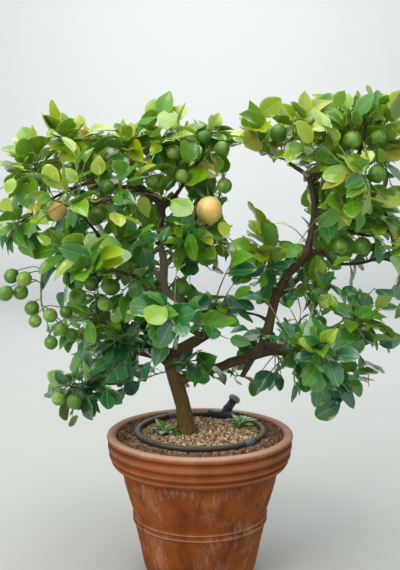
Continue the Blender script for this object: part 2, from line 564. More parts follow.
def fired_clay(colours):
    """Earthenware, thrown and fired unglazed: dull and grainy, stained in its grooves and limed."""
    material, tree, shader, at = new_material("fired_clay", Roughness=0.82, Specular_IOR_Level=0.25)
    clouds = add(tree, "ShaderNodeTexNoise", at, Scale=11.0, Detail=6.0, Roughness=0.6)
    grain = add(tree, "ShaderNodeTexNoise", at, Scale=380.0, Detail=4.0)
    body = add(tree, "ShaderNodeValToRGB", clouds,
               stops=((0.28, "#6A300C"), (0.46, "#7E3E10"), (0.6, colours.clay), (0.8, "#A0561C")))

    # Crests of the mouldings are worn pale, and their grooves hold rust-brown dirt.
    height = add(tree, "ShaderNodeSeparateXYZ", at).outputs["Z"]
    uneven = add(tree, "ShaderNodeMath", clouds, 0.003, height, operation="MULTIPLY_ADD")
    low, high = MOULDINGS[0][0], MOULDINGS[-1][0]
    crests = add(tree, "ShaderNodeMapRange", uneven, From_Min=low, From_Max=high)
    wears = [((level - low) / (high - low), (tone, tone, tone, 1)) for level, tone in MOULDINGS]
    worn = add(tree, "ShaderNodeValToRGB", crests, stops=wears)
    wear = add(tree, "ShaderNodeMath", worn, 2.0, -1.0, operation="MULTIPLY_ADD")
    pale_share = add(tree, "ShaderNodeMath", wear, 0.95, operation="MULTIPLY", use_clamp=True)
    rust_share = add(tree, "ShaderNodeMath", wear, -0.66, operation="MULTIPLY", use_clamp=True)
    crest = add(tree, "ShaderNodeMix", pale_share, body, colours.clay_lip, data_type="RGBA")
    groove = add(tree, "ShaderNodeMix", rust_share, crest, "#5A2A14", data_type="RGBA")

    # Water has run down the wall, less so on the lip: brown stains and fine white lime.
    below = add(tree, "ShaderNodeMapRange", height, From_Min=0.296, From_Max=0.325,
                To_Min=1.0, To_Max=0.3)
    run_at = add(tree, "ShaderNodeMapping", at, Scale=(1.0, 1.0, 0.06))
    runs = add(tree, "ShaderNodeTexNoise", run_at, Scale=46.0, Detail=5.0, Roughness=0.6)
    stain = add(tree, "ShaderNodeMapRange", runs, From_Min=0.34, From_Max=0.5, To_Min=0.45, To_Max=0.0)
    stain_share = add(tree, "ShaderNodeMath", stain, below, operation="MULTIPLY")
    stained = add(tree, "ShaderNodeMix", stain_share, groove, "#A8836A", data_type="RGBA",
                  blend_type="MULTIPLY")
    lime_at = add(tree, "ShaderNodeMapping", at, Scale=(1.0, 1.0, 0.12))
    fine = add(tree, "ShaderNodeTexNoise", lime_at, Scale=120.0, Detail=6.0, Roughness=0.7)
    patches = add(tree, "ShaderNodeTexNoise", at, Scale=13.0, Detail=4.0)
    both = add(tree, "ShaderNodeMath", fine, patches, operation="MULTIPLY")
    lime = add(tree, "ShaderNodeMapRange", both, From_Min=0.26, From_Max=0.5, To_Max=0.36)
    lime_share = add(tree, "ShaderNodeMath", lime, below, operation="MULTIPLY")
    limed = add(tree, "ShaderNodeMix", lime_share, stained, "#CDAE98", data_type="RGBA")
    tinted = add(tree, "ShaderNodeMix", 0.3, limed, grain, data_type="RGBA", blend_type="OVERLAY")
    bump = add(tree, "ShaderNodeBump", Strength=0.5, Distance=0.0014, Height=grain)
    waves = add(tree, "ShaderNodeBump", Strength=0.35, Distance=0.004, Height=clouds, Normal=bump)
    fill(shader, Base_Color=tinted, Normal=waves)
    return material


def potting_mix():
    """Damp bark compost, dark brown and dull, seen between the grains of grit."""
    material, tree, shader, at = new_material("potting_mix", Roughness=0.95)
    crumbs = add(tree, "ShaderNodeTexNoise", at, Scale=160.0, Detail=5.0)
    tint = add(tree, "ShaderNodeValToRGB", crumbs,
               stops=((0.3, "#4A372A"), (0.5, "#73573F"), (0.7, "#A2805F")))
    bump = add(tree, "ShaderNodeBump", Strength=0.8, Distance=0.004, Height=crumbs)
    fill(shader, Base_Color=tint, Normal=bump)
    return material


def grit():
    """Crushed bark and stone chips of 4 to 12 mm, each with a colour of its own, damp near the wall."""
    material, tree, shader, at = new_material("bark_and_stone_chips", Roughness=0.9)
    shade = add(tree, "ShaderNodeAttribute", attribute_name="shade").outputs["Fac"]
    tint = add(tree, "ShaderNodeValToRGB", shade,
               stops=((0.0, "#5A4331"), (0.14, "#94704F"), (0.3, "#BF9A78"), (0.5, "#B58F66"),
                      (0.7, "#D4B794"), (0.86, "#E2CDB8"), (1.0, "#F3EBE2")))
    speck = add(tree, "ShaderNodeTexNoise", at, Scale=700.0, Detail=2.0)
    flat = add(tree, "ShaderNodeVectorMath", at, (1.0, 1.0, 0.0), operation="MULTIPLY")
    reach = add(tree, "ShaderNodeVectorMath", flat, operation="LENGTH")
    damp = add(tree, "ShaderNodeMapRange", reach, From_Min=0.165, From_Max=0.205, To_Max=0.85)
    dark = add(tree, "ShaderNodeMix", damp, tint, "#8C7A62", data_type="RGBA", blend_type="MULTIPLY")
    mixed = add(tree, "ShaderNodeMix", 0.5, dark, speck.outputs["Color"], data_type="RGBA",
                blend_type="OVERLAY")
    fill(shader, Base_Color=mixed)
    return material


def living_bark(colours):
    """Citrus bark: grey-olive and smooth on thick wood, with lichen flecks, near black on old twigs."""
    material, tree, shader, at = new_material("living_bark", Roughness=0.82)
    girth, worn = (add(tree, "ShaderNodeAttribute", attribute_name=key).outputs["Fac"]
                   for key in ("girth", "worn"))
    along = add(tree, "ShaderNodeMapping", at, Scale=(1.0, 1.0, 0.3))
    fibre = add(tree, "ShaderNodeTexNoise", along, Scale=130.0, Detail=6.0, Roughness=0.7)
    thick = add(tree, "ShaderNodeValToRGB", fibre,
                stops=((0.25, "#51411A"), (0.5, "#6D5924"), (0.75, "#857137")))
    thin = add(tree, "ShaderNodeValToRGB", fibre, stops=((0.3, "#2B2119"), (0.7, "#665343")))
    size = add(tree, "ShaderNodeMapRange", girth, From_Min=0.010, From_Max=0.021)
    wood = add(tree, "ShaderNodeMix", size, thin, thick, data_type="RGBA")
    toned = add(tree, "ShaderNodeMix", 0.3, wood, colours.bark, data_type="RGBA", blend_type="OVERLAY")
    spots = add(tree, "ShaderNodeTexNoise", at, Scale=38.0, Detail=4.0)
    lichen = add(tree, "ShaderNodeValToRGB", spots, stops=((0.58, "#000000"), (0.7, "#5C5C5C")))
    fleck = add(tree, "ShaderNodeMix", lichen, toned, "#8E8560", data_type="RGBA")
    edge = add(tree, "ShaderNodeMath", worn, 1.6, fibre, operation="MULTIPLY_ADD")
    bare = add(tree, "ShaderNodeMapRange", edge, From_Min=0.75, From_Max=1.3, To_Max=0.9)
    pale = add(tree, "ShaderNodeMix", bare, fleck, "#B7A498", data_type="RGBA")
    bump = add(tree, "ShaderNodeBump", Strength=0.4, Distance=0.0015, Height=fibre)
    fill(shader, Base_Color=pale, Normal=bump)
    return material


def green_wood():
    """Young citrus stems, still green and a little waxy."""
    material, tree, shader, at = new_material("green_stem", Roughness=0.55)
    streak = add(tree, "ShaderNodeTexNoise", at, Scale=60.0, Detail=4.0)
    fill(shader, Base_Color=add(tree, "ShaderNodeValToRGB", streak,
                                stops=((0.3, "#3F4A22"), (0.55, "#6B7A34"), (0.75, "#8C9A4A"))))
    return material


def twisted_twine(name, tint):
    """Twisted plant fibre, dull and a little frayed, darker between its strands."""
    material, tree, shader, at = new_material(name + "_fibre", Roughness=0.85)
    strands = add(tree, "ShaderNodeTexWave", at, Scale=240.0, Distortion=3.0, Detail=2.0,
                  bands_direction="DIAGONAL")
    fill(shader, Base_Color=add(tree, "ShaderNodeMix", 0.55, tint, strands, data_type="RGBA",
                                blend_type="MULTIPLY"))
    return material


def waxy_leaf(name, colours):
    """A living citrus leaf: waxy and glossy above with a pale midrib, paler and duller below."""
    material, tree, shader, at = new_material(
        name, Subsurface_Weight=0.35, Subsurface_Radius=(0.7, 1.0, 0.2), Subsurface_Scale=0.003,
        Specular_IOR_Level=0.4, Coat_Weight=0.75, Coat_IOR=1.6, Coat_Roughness=0.13)
    spot = add(tree, "ShaderNodeSeparateXYZ", add(tree, "ShaderNodeUVMap", uv_map="UVMap")).outputs
    age, tone, under = (add(tree, "ShaderNodeAttribute", attribute_name=key).outputs["Fac"]
                        for key in ("age", "tone", "under"))
    blotch = add(tree, "ShaderNodeTexNoise", at, Scale=42.0, Detail=4.0)

    # The tint runs from young to old, with a draw for each leaf and soft blotches within it.
    spread = add(tree, "ShaderNodeMath", tone, 0.76, -0.47, operation="MULTIPLY_ADD")
    aged = add(tree, "ShaderNodeMath", age, 0.42, spread, operation="MULTIPLY_ADD")
    mottled = add(tree, "ShaderNodeMath", blotch, 0.3, aged, operation="MULTIPLY_ADD")
    blade = add(tree, "ShaderNodeValToRGB", mottled,
                stops=((0.0, colours.young_leaf), (0.2, "#7FA40E"), (0.4, "#569012"),
                       (0.58, colours.leaf), (0.76, "#0F6428"), (1.0, colours.old_leaf)))

    # A pale midrib, and side veins that slant towards the tip.
    off = add(tree, "ShaderNodeMath", spot["X"], 0.5, operation="SUBTRACT")
    aside = add(tree, "ShaderNodeMath", off, operation="ABSOLUTE")
    rib = add(tree, "ShaderNodeMapRange", aside, From_Min=0.010, From_Max=0.035, To_Min=1.0, To_Max=0.0)
    slant = add(tree, "ShaderNodeMath", aside, -0.7, spot["Y"], operation="MULTIPLY_ADD")
    ladder = add(tree, "ShaderNodeMath", slant, 0.055, operation="PINGPONG")
    vein = add(tree, "ShaderNodeMapRange", ladder, From_Min=0.002, From_Max=0.014,
               To_Min=0.3, To_Max=0.0)
    lines = add(tree, "ShaderNodeMath", rib, vein, operation="MAXIMUM")
    shown = add(tree, "ShaderNodeMath", lines, 0.32, operation="MULTIPLY")
    veined = add(tree, "ShaderNodeMix", shown, blade, "#A4BC52", data_type="RGBA")

    # A few leaves have turned yellow, and more of them are yellow or brown along the edge.
    yellow = add(tree, "ShaderNodeMapRange", tone, From_Min=0.978, From_Max=0.986, To_Max=0.8)
    turned = add(tree, "ShaderNodeMix", yellow, veined, "#B5A63C", data_type="RGBA")
    edge = add(tree, "ShaderNodeMath", aside, 1.1, blotch, operation="MULTIPLY_ADD")
    margin = add(tree, "ShaderNodeMapRange", edge, From_Min=1.04, From_Max=1.16, To_Max=0.7)
    edged = add(tree, "ShaderNodeMix", margin, turned, "#B9A93F", data_type="RGBA")
    pale_share = add(tree, "ShaderNodeMath", under, 0.45, operation="MULTIPLY")
    pale = add(tree, "ShaderNodeMix", pale_share, edged, "#8CAE4C", data_type="RGBA")
    dull = add(tree, "ShaderNodeMath", under, 0.3, 0.42, operation="MULTIPLY_ADD")
    bump = add(tree, "ShaderNodeBump", Strength=0.6, Distance=0.0012, Height=lines, invert=True)
    fill(shader, Base_Color=pale, Roughness=dull, Normal=bump)
    return material


def citrus_peel(name, dark, main, light):
    """Citrus peel: satin, with oil glands as fine pits, drawn at 2 mm so that they show."""
    material, tree, shader, at = new_material(
        name, Roughness=0.34, Subsurface_Weight=0.15, Subsurface_Radius=(1.0, 0.7, 0.3),
        Subsurface_Scale=0.004)
    shade, calyx = (add(tree, "ShaderNodeAttribute", attribute_name=key).outputs["Fac"]
                    for key in ("tone", "calyx"))
    cloud = add(tree, "ShaderNodeTexNoise", at, Scale=45.0, Detail=3.0)
    shift = add(tree, "ShaderNodeMath", cloud, 0.17, operation="SUBTRACT")
    value = add(tree, "ShaderNodeMath", shade, 0.35, shift, operation="MULTIPLY_ADD")
    tint = add(tree, "ShaderNodeValToRGB", value, stops=((0.2, dark), (0.5, main), (0.85, light)))
    capped = add(tree, "ShaderNodeMix", calyx, tint, "#4E5A28", data_type="RGBA")
    glands = add(tree, "ShaderNodeTexVoronoi", at, Scale=520.0)
    bump = add(tree, "ShaderNodeBump", Strength=0.3, Distance=0.0006, Height=glands)
    fill(shader, Base_Color=capped, Normal=bump)
    return material


def moulded(name, tint, dust, roughness):
    """Polyethylene or polypropylene, extruded or moulded, with dust lying on what faces up."""
    material, tree, shader, at = new_material(name, Roughness=roughness)
    facing = add(tree, "ShaderNodeSeparateXYZ", add(tree, "ShaderNodeNewGeometry").outputs["Normal"])
    speck = add(tree, "ShaderNodeTexNoise", at, Scale=90.0, Detail=4.0)
    lying = add(tree, "ShaderNodeMapRange", facing.outputs["Z"], From_Min=0.3, From_Max=1.0, To_Max=0.8)
    share = add(tree, "ShaderNodeMath", lying, speck, operation="MULTIPLY")
    fill(shader, Base_Color=add(tree, "ShaderNodeMix", share, tint, dust, data_type="RGBA"))
    return material


def painted_floor():
    """A studio floor and wall in matt paint, pale and a little uneven, paler the higher up."""
    material, tree, shader, at = new_material("matt_paint", Roughness=0.9)
    height = add(tree, "ShaderNodeSeparateXYZ", at).outputs["Z"]
    mottle = add(tree, "ShaderNodeTexNoise", at, Scale=3.0, Detail=3.0)
    rise = add(tree, "ShaderNodeMapRange", height, From_Min=-0.2, From_Max=2.6)
    uneven = add(tree, "ShaderNodeMath", mottle, 0.06, rise, operation="MULTIPLY_ADD")
    fill(shader, Base_Color=add(tree, "ShaderNodeValToRGB", uneven,
                                stops=((0.08, "#A9ADAB"), (0.3, "#C2C5C4"), (0.8, "#DDDFDE"))))
    return material


# ---------------------------------------------------------------- how leaves stand on a shoot
# The crown's outline on the plane y = 0, as (x, z), clockwise from the left.
CROWN_OUTLINE = (
    (-600, 1180), (-520, 1215), (-470, 1270), (-425, 1292), (-395, 1275), (-362, 1310),
    (-330, 1290), (-285, 1240), (-245, 1248), (-215, 1275), (-185, 1275), (-150, 1275),
    (-120, 1340), (-95, 1290), (-52, 1312), (-20, 1270), (18, 1312), (50, 1270), (95, 1270),
    (118, 1285), (150, 1308), (175, 1290), (215, 1325), (250, 1342), (330, 1342), (355, 1325),
    (390, 1352), (425, 1335), (460, 1362), (500, 1340), (545, 1345), (640, 1330), (640, 700),
    (545, 640), (535, 565), (480, 520), (440, 455), (395, 430), (330, 425), (270, 430), (245, 500),
    (200, 520), (165, 495), (120, 530), (60, 545), (-10, 510), (-60, 525), (-120, 555), (-190, 520),
    (-230, 440), (-290, 425), (-355, 415), (-420, 440), (-450, 500), (-440, 600), (-440, 655),
    (-480, 740), (-600, 790),
)
CROWN_REACH = ((-596, -408), (622, 462))   # least and greatest x and y of a blade
LIGHT_SIDE = np.array([0.0, -1.0, 0.2])   # leaves turn their faces this way
EXTRA_TURNS = (0, 50, -50, 100, -100, 160)   # degrees, tried in turn until a leaf stands clear
# Degrees by which leaves spread from their shoot: the last one, others at the foot, and less by the tip.
LAST_SPREAD, SPREAD, SPREAD_LOST = 22, 76, 20
# Degrees over which leaves are drawn apart in turn, spread and roll.
DRAWN_TURN, DRAWN_SPREAD, DRAWN_ROLL = 60, 40, 100
SKIN = 4   # kept free between a blade and wood or fruit
FRUIT_CLEAR = 1.3   # fruit in front is kept in sight this far out, in radii
UNBOUNDED = 1e6
LIMB_LINES = {name: samples(limb, (len(limb) - 1) * 8) for name, limb in LIMBS.items()}
LIMB_POINTS = np.concatenate(list(LIMB_LINES.values()))
FRUITS = np.array([fruit for stem, fruits in BUNCHES.values() for fruit in fruits], float)

# Places on a blade, along it and across: the first of them keep leaves apart, and all of them hide.
BLADE_SPOTS = ((0.25, 0), (0.6, 0), (1, 0), (0.45, 0.9), (0.45, -0.9), (0.15, 0.6), (0.15, -0.6),
               (0.8, 0.7), (0.8, -0.7))
SPACED = 5


def seen(points):
    """Where the sight lines through points meet the plane y = 0, as (x, z)."""
    reach = -EYE[1] / (points[:, 1] - EYE[1])
    return np.stack([points[:, 0] * reach, EYE[2] + (points[:, 2] - EYE[2]) * reach], axis=1)


# What stays in sight: circles on the plane y = 0, and the depth behind which leaves may stand.
HOLES = np.array([(*spot, UNBOUNDED) for spot in OPENINGS] + list(SIGHTS)
                 + [(*seen(np.array([f[:3]]))[0], f[3] * FRUIT_CLEAR, f[1]) for f in FRUITS], float)


def hides(points):
    """Whether any point lies in front of something that stays in sight."""
    away = np.linalg.norm(seen(points)[:, None, :] - HOLES[None, :, :2], axis=2)
    return bool(((away < HOLES[:, 2]) & (points[:, None, 1] < HOLES[:, 3])).any())


def inside(x, z, outline):
    """Whether a point lies within a closed outline."""
    within = False
    for (x0, z0), (x1, z1) in zip(outline, outline[1:] + outline[:1]):
        if (z0 > z) != (z1 > z) and x < (x1 - x0) * (z - z0) / (z1 - z0) + x0:
            within = not within
    return within


def blocked(points, others, outline):
    """Whether a blade would leave the crown, touch the soil, a leaf, wood or fruit, or hide a sight."""
    if (points[:, :2] < CROWN_REACH[0]).any() or (points[:, :2] > CROWN_REACH[1]).any():
        return True
    if points[:, 2].min() < LOWEST_LEAF or hides(points):
        return True
    if outline and not all(inside(x, z, outline) for x, z in seen(points[:3])):
        return True
    for solids in (LIMB_POINTS, FRUITS):
        away = np.linalg.norm(points[:, None, :] - solids[None, :, :3], axis=2)
        if (away < solids[:, 3] + SKIN).any():
            return True
    if len(others):
        away = np.linalg.norm(points[:SPACED, None, :] - np.asarray(others)[None], axis=2)
        return bool((away < LEAF_CLEARANCE).any())
    return False


def arched(base, tip, rise=0.1):
    """The middle of a shoot that rises over the straight line by a share of its length."""
    return (base + tip) / 2 + UP * rise * np.linalg.norm(tip - base)


def new_shoot(base, bow, tip, count, age, source, outline=CROWN_OUTLINE):
    """A shoot's path, the number and age of its leaves, where they start round it, and its draws."""
    return {"base": base, "bow": bow, "tip": tip, "count": count, "age": age,
            "turn": 360 * next(source), "draws": source, "outline": outline}


def shoot_point(shoot, t):
    """A point along a shoot, from 0 at its base to 1 at its tip."""
    a = shoot["base"] + (shoot["bow"] - shoot["base"]) * t
    b = shoot["bow"] + (shoot["tip"] - shoot["bow"]) * t
    return a + (b - a) * t


def blade_points(leaf):
    """The blade's points for keeping leaves apart, and more for what it hides."""
    side = np.cross(leaf["normal"], leaf["along"])
    return np.array([leaf["root"] + leaf["along"] * (PETIOLE + leaf["length"] * t)
                     + side * across * leaf["width"] / 2 for t, across in BLADE_SPOTS])


def pose_leaf(shoot, i, drawn, extra_turn):
    """The leaf at place i of a shoot, by six draws and an extra turn about the shoot."""
    last = i == shoot["count"] - 1
    age = shoot["age"]
    t = 1 if last else 0.02 + 0.94 * (i + 0.5) / shoot["count"]
    root = shoot_point(shoot, t)
    ahead = min(t + 0.05, 1)
    along = unit(shoot_point(shoot, ahead) - shoot_point(shoot, ahead - 0.1))
    side = unit(np.cross(along, UP if abs(along[2]) < 0.95 else (0, 1, 0)))
    other = np.cross(side, along)

    # It turns round the shoot, spreads from it, less so near the tip, and then lifts or droops.
    azimuth = math.radians(i * GOLDEN_ANGLE + shoot["turn"] + DRAWN_TURN * (drawn[0] - 0.5) + extra_turn)
    radial = side * math.cos(azimuth) + other * math.sin(azimuth)
    usual = SPREAD - SPREAD_LOST * t + DRAWN_SPREAD * (drawn[1] - 0.5)
    spread = math.radians(LAST_SPREAD if last else usual)
    out = along * math.cos(spread) + radial * math.sin(spread)
    lift = 0.25 + 0.3 * max(0, 0.7 - age)
    droop = (0.2 + 0.24 * age) * (0.2 + 1.1 * drawn[2])
    out = unit(out + UP * (lift - droop))

    # Its face turns up, outward and to the light, with a roll of its own.
    facing = UP + unit(root * (1, 1, 0)) * 0.6 + LIGHT_SIDE * 0.6 + along * 0.3
    flat = unit(facing - out * facing.dot(out))
    roll = math.radians(DRAWN_ROLL * (drawn[3] - 0.5))
    normal = flat * math.cos(roll) + np.cross(out, flat) * math.sin(roll)

    # Leaves are largest in the middle of a shoot, and larger on a young one.
    full = 0.74 + 0.3 * math.sin(math.pi * (0.15 + 0.7 * t))
    length = LEAF_LENGTH * full * (0.66 + 0.56 * drawn[4]) * max(1.0, 1.25 - 0.25 * age)
    return {"root": root, "along": out, "normal": normal, "length": length, "t": t,
            "width": length * LEAF_SPREAD * (0.84 + 0.3 * drawn[5]), "age": age}


def grow_leaves(shoot, others):
    """A shoot's leaves, each clear of the ones before it."""
    leaves = []
    for i in range(shoot["count"]):
        drawn = list(itertools.islice(shoot["draws"], 6))
        for extra_turn in EXTRA_TURNS:
            leaf = pose_leaf(shoot, i, drawn, extra_turn)
            points = blade_points(leaf)
            if not blocked(points, others, shoot["outline"]):
                others.extend(points[:SPACED])
                leaves.append(leaf)
                break
    return leaves


def stem_path(stem):
    """A stem's points, of which the first moves to the nearest limb."""
    return np.array([nearest(LIMB_POINTS, stem[0])[:3], *stem[1:]], float)


def plan_spray(stem, shoots, seed):
    """A spray's stem and the arching paths of its shoots."""
    path = stem_path(stem)
    source = draws(seed)
    grown = []
    for i, (*aim, count, age) in enumerate(shoots):
        base = smooth(path, 0.45 + 0.55 * (i + 1) / len(shoots))
        aim = np.array(aim, float)
        tip = base + (aim - base) * max(1 - TIP_REACH / np.linalg.norm(aim - base), 0.4)
        grown.append(new_shoot(base, arched(base, tip), tip, count + 2, age, source))
    return path, grown


# Limbs that also bear side shoots: from and to along the limb, how many, and their leaves' age.
FILLS = {
    "back_centre": (0.35, 0.98, 5, 0.8), "back_left": (0.35, 0.98, 5, 1.0),
    "back_right": (0.35, 0.98, 5, 0.9), "back_right_low": (0.35, 0.98, 5, 1.6),
    "back_top_right": (0.3, 0.98, 5, 0.4), "back_top_left": (0.3, 0.98, 5, 0.5),
    "back_left_low": (0.35, 0.98, 5, 1.7), "front_centre": (0.4, 0.98, 4, 1.4),
    "front_left": (0.35, 0.98, 4, 1.0), "front_right_low": (0.4, 0.98, 4, 1.5),
    "front_right_up": (0.3, 0.98, 4, 0.6), "front_left_up": (0.3, 0.98, 4, 0.6),
    "leader": (0.15, 0.95, 5, 0.5), "right_up": (0.35, 0.97, 6, 0.9), "right_arm": (0.3, 0.95, 4, 1.0),
    "left_arm": (0.3, 0.95, 4, 1.0), "left_mid": (0.3, 0.95, 4, 1.4), "left_low": (0.35, 0.95, 4, 1.7),
    "right_side": (0.2, 0.95, 3, 0.3), "right_bottom": (0.3, 0.95, 4, 1.6),
    "centre_arm": (0.3, 0.95, 3, 1.0), "right_mid_far": (0.3, 0.95, 3, 0.9),
    "leader_stub": (0.3, 0.95, 3, 0.5), "left_hang": (0.1, 0.9, 3, 1.3),
}


SIDE_SHOOT = (45, 100)   # least and greatest length


def fill_shoots(limb, spans, seed):
    """Side shoots at even steps along a limb, turned about it by the golden angle."""
    start, end, count, age = spans
    least, greatest = SIDE_SHOOT
    source = draws(seed)
    for k in range(count):
        t = start + (end - start) * (k + 0.5) / count
        base = smooth(limb, t)[:3]
        along = unit(smooth(limb, min(t + 0.03, 1))[:3] - smooth(limb, t - 0.03)[:3])
        side = unit(np.cross(along, UP))
        over = np.cross(side, along)
        turn = math.radians(k * GOLDEN_ANGLE + DRAWN_TURN * next(source))
        radial = side * math.cos(turn) + over * math.sin(turn)
        out = unit(along * 0.45 + radial + UP * (0.5 - 0.45 * age))
        tip = base + out * (least + (greatest - least) * next(source))
        yield new_shoot(base, arched(base, tip), tip, 5 + int(3 * next(source)), age, source)


# Where the last leaf of an upright shoot stands at the crown's top, as (x, z).
TOP_SHOOTS = ((-436, 1187), (-368, 1227), (-300, 1180), (-185, 1198), (-109, 1259), (-60, 1235),
              (33, 1232), (158, 1197), (225, 1240), (272, 1267), (330, 1250), (395, 1278), (457, 1283),
              (512, 1257))
TOP_DEPTH, TOP_FORWARD = 110, 0.7   # how deep the row of tips is, and the share of it in front of y = 0
TOP_HEIGHT, TOP_BOW, TOP_LEAVES = 60, 45, 6


def top_shoots(stems, seed):
    """Shoots that rise from the nearest stem and end upright at the crown's top."""
    source = draws(seed)
    for x, z in TOP_SHOOTS:
        tip = np.array([x, TOP_DEPTH * (next(source) - TOP_FORWARD), z])
        base = nearest(stems, tip - UP * TOP_HEIGHT)
        age = 0.1 + 0.5 * next(source)
        yield new_shoot(base, tip - UP * TOP_BOW, tip, TOP_LEAVES, age, source, outline=None)


TWIG_COUNT = 330
TWIG_PIECES = 6
TWIG_BOX = ((-560, 430), (1150, 910))   # corner and size of where twigs end, as (x, z)
TWIG_DEPTH = 260
TWIG_REACH = (35, 150)
TWIG_BOW = 0.12
AGE_LEVEL, AGE_HEIGHT = 1000, 300   # where leaves are 0.9 old, and how far below it they are 1 older
TWIG_FREE = ((165, 965, 85), (-500, 840, 80), (-450, 740, 60), (-385, 990, 45))   # x, z and radius


def scattered_twigs(stems, seed):
    """Twigs that reach from the nearest stem to spots drawn within the crown, older the lower down."""
    source = draws(seed)
    while True:
        x, z = (corner + size * next(source) for corner, size in zip(*TWIG_BOX))
        depth = TWIG_DEPTH * (2 * next(source) - 1)
        widen = 1 + depth / -EYE[1]
        spot = np.array([x * widen, depth, EYE[2] + (z - EYE[2]) * widen])
        root = nearest(stems, spot)
        free = any(math.hypot(x - a, z - b) < r for a, b, r in TWIG_FREE)
        near, far = TWIG_REACH
        if free or not inside(x, z, CROWN_OUTLINE) or not near < np.linalg.norm(spot - root) < far:
            continue
        age = (AGE_LEVEL - spot[2]) / AGE_HEIGHT + 0.9 + 0.6 * (next(source) - 0.5)
        bow = arched(root, spot, TWIG_BOW)
        yield new_shoot(root, bow, spot, 3 + int(3 * next(source)), np.clip(age, 0.1, 2.0), source)


# ---------------------------------------------------------------- shapes that are borne or scattered
# How far along the leaf, from the foot of its petiole, and the share of its full width there.
OVATE = ((0, 0.035), (0.155, 0.04), (0.22, 0.5), (0.36, 0.9), (0.56, 1), (0.78, 0.83), (0.97, 0.45),
         (1.09, 0.17), (1.16, 0))
ELLIPTIC = ((0, 0.035), (0.155, 0.04), (0.22, 0.4), (0.38, 0.84), (0.6, 1), (0.82, 0.88), (1.0, 0.56),
            (1.1, 0.27), (1.16, 0))
OBOVATE = ((0, 0.035), (0.155, 0.04), (0.23, 0.32), (0.42, 0.76), (0.66, 1), (0.87, 0.96), (1.03, 0.68),
           (1.12, 0.38), (1.16, 0))
LEAF_KINDS = (     # outline, fold at the midrib, droop, wave of the edge, twist, phase
    (OVATE, 0.14, 0.12, 0.014, 0.00, 0.0), (OVATE, 0.34, 0.24, 0.020, 0.06, 1.1),
    (ELLIPTIC, 0.08, 0.08, 0.026, -0.05, 2.3), (ELLIPTIC, 0.24, 0.16, 0.014, 0.04, 3.9),
    (OBOVATE, 0.15, 0.28, 0.018, -0.05, 5.2), (OBOVATE, 0.06, 0.05, 0.030, 0.09, 0.7),
)
BLADE_KEEL, PETIOLE_KEEL = 0.012, 0.05   # how thick a leaf is below its midrib
PUFF = 0.02   # how far each half of a blade bulges
RIPPLES, RIPPLE_SHIFT = 11, 2.2   # radians of the edge's waves in a blade, and from one edge to the other


def leaf_shape(name, outline, fold, droop, wave, twist, phase):
    """A closed thin leaf with its petiole: unit width across X, unit length of blade along Y."""
    points, flat, tops, lows = [], [], [], []
    end = outline[-1][0]
    for y, share in outline:
        t = y / end
        row = []
        for across in (-1, -0.5, 0, 0.5, 1) if share else (0,):
            puff = PUFF * share if abs(across) == 0.5 else 0
            shift = phase + (RIPPLE_SHIFT if across > 0 else 0)
            ripple = wave * abs(across) * share * math.sin(RIPPLES * y + shift)
            lift = fold * abs(across) * share * 0.5 - droop * t * t
            row.append(len(points))
            points.append((0.5 * across * share, y, lift + ripple + twist * across * share * t + puff))
            flat.append((0.5 + 0.5 * across * share, t))
        tops.append(row)
        if share:
            lows.append([row[0], len(points), row[-1]])
            points.append((0, y, -droop * t * t - (PETIOLE_KEEL if share < 0.1 else BLADE_KEEL)))
            flat.append((0.5, t))
        else:
            lows.append(row)
    faces, under = [], []
    for rows, below in ((tops, False), (lows, True)):
        for near, far in zip(rows, rows[1:]):
            for k in range(len(near) - 1):
                face = list(dict.fromkeys([near[k], near[k + 1], far[min(k + 1, len(far) - 1)],
                                           far[min(k, len(far) - 1)]]))
                faces.append(face[::-1] if below else face)
                under.append(float(below))
    faces.append([tops[0][0], lows[0][1], *tops[0][:0:-1]])
    under.append(1.0)
    piece = mesh_object(name, points, faces, sharp=60)
    piece.data.attributes.new("under", "FLOAT", "FACE").data.foreach_set("value", under)
    layer = piece.data.uv_layers.new(name="UVMap")
    for loop, corner in zip(piece.data.loops, layer.data):
        corner.uv = flat[loop.vertex_index]
    return piece


# Outlines of (radius, height) from the free end up to the twig, at unit radius.
GREEN_OUTLINE = ((0, -1.0), (0.12, -0.99), (0.34, -0.95), (0.62, -0.8), (0.86, -0.5), (0.98, -0.12),
                 (0.99, 0.18), (0.88, 0.52), (0.66, 0.8), (0.4, 0.97), (0.2, 1.04), (0.1, 1.1),
                 (0, 1.13))
LEMON_OUTLINE = ((0, -1.02), (0.1, -1.01), (0.26, -0.98), (0.56, -0.84), (0.82, -0.56), (0.96, -0.18),
                 (0.97, 0.16), (0.86, 0.54), (0.6, 0.86), (0.3, 1.03), (0.17, 1.08), (0.14, 1.14),
                 (0.06, 1.18), (0, 1.19))
CALYX_OUTLINE = ((0, -1.16), (0.07, -1.14), (0.10, -1.03), (0.3, -0.985), (0.17, -0.93), (0, -0.93))
FRUIT_KINDS = ((GREEN_OUTLINE, 0.015, 0.4), (GREEN_OUTLINE, 0.03, 2.0), (LEMON_OUTLINE, 0.012, 1.0))
FRUIT_SIDES, CALYX_SIDES = 18, 10
LOBES, LOBE_REACH = 5, 0.4


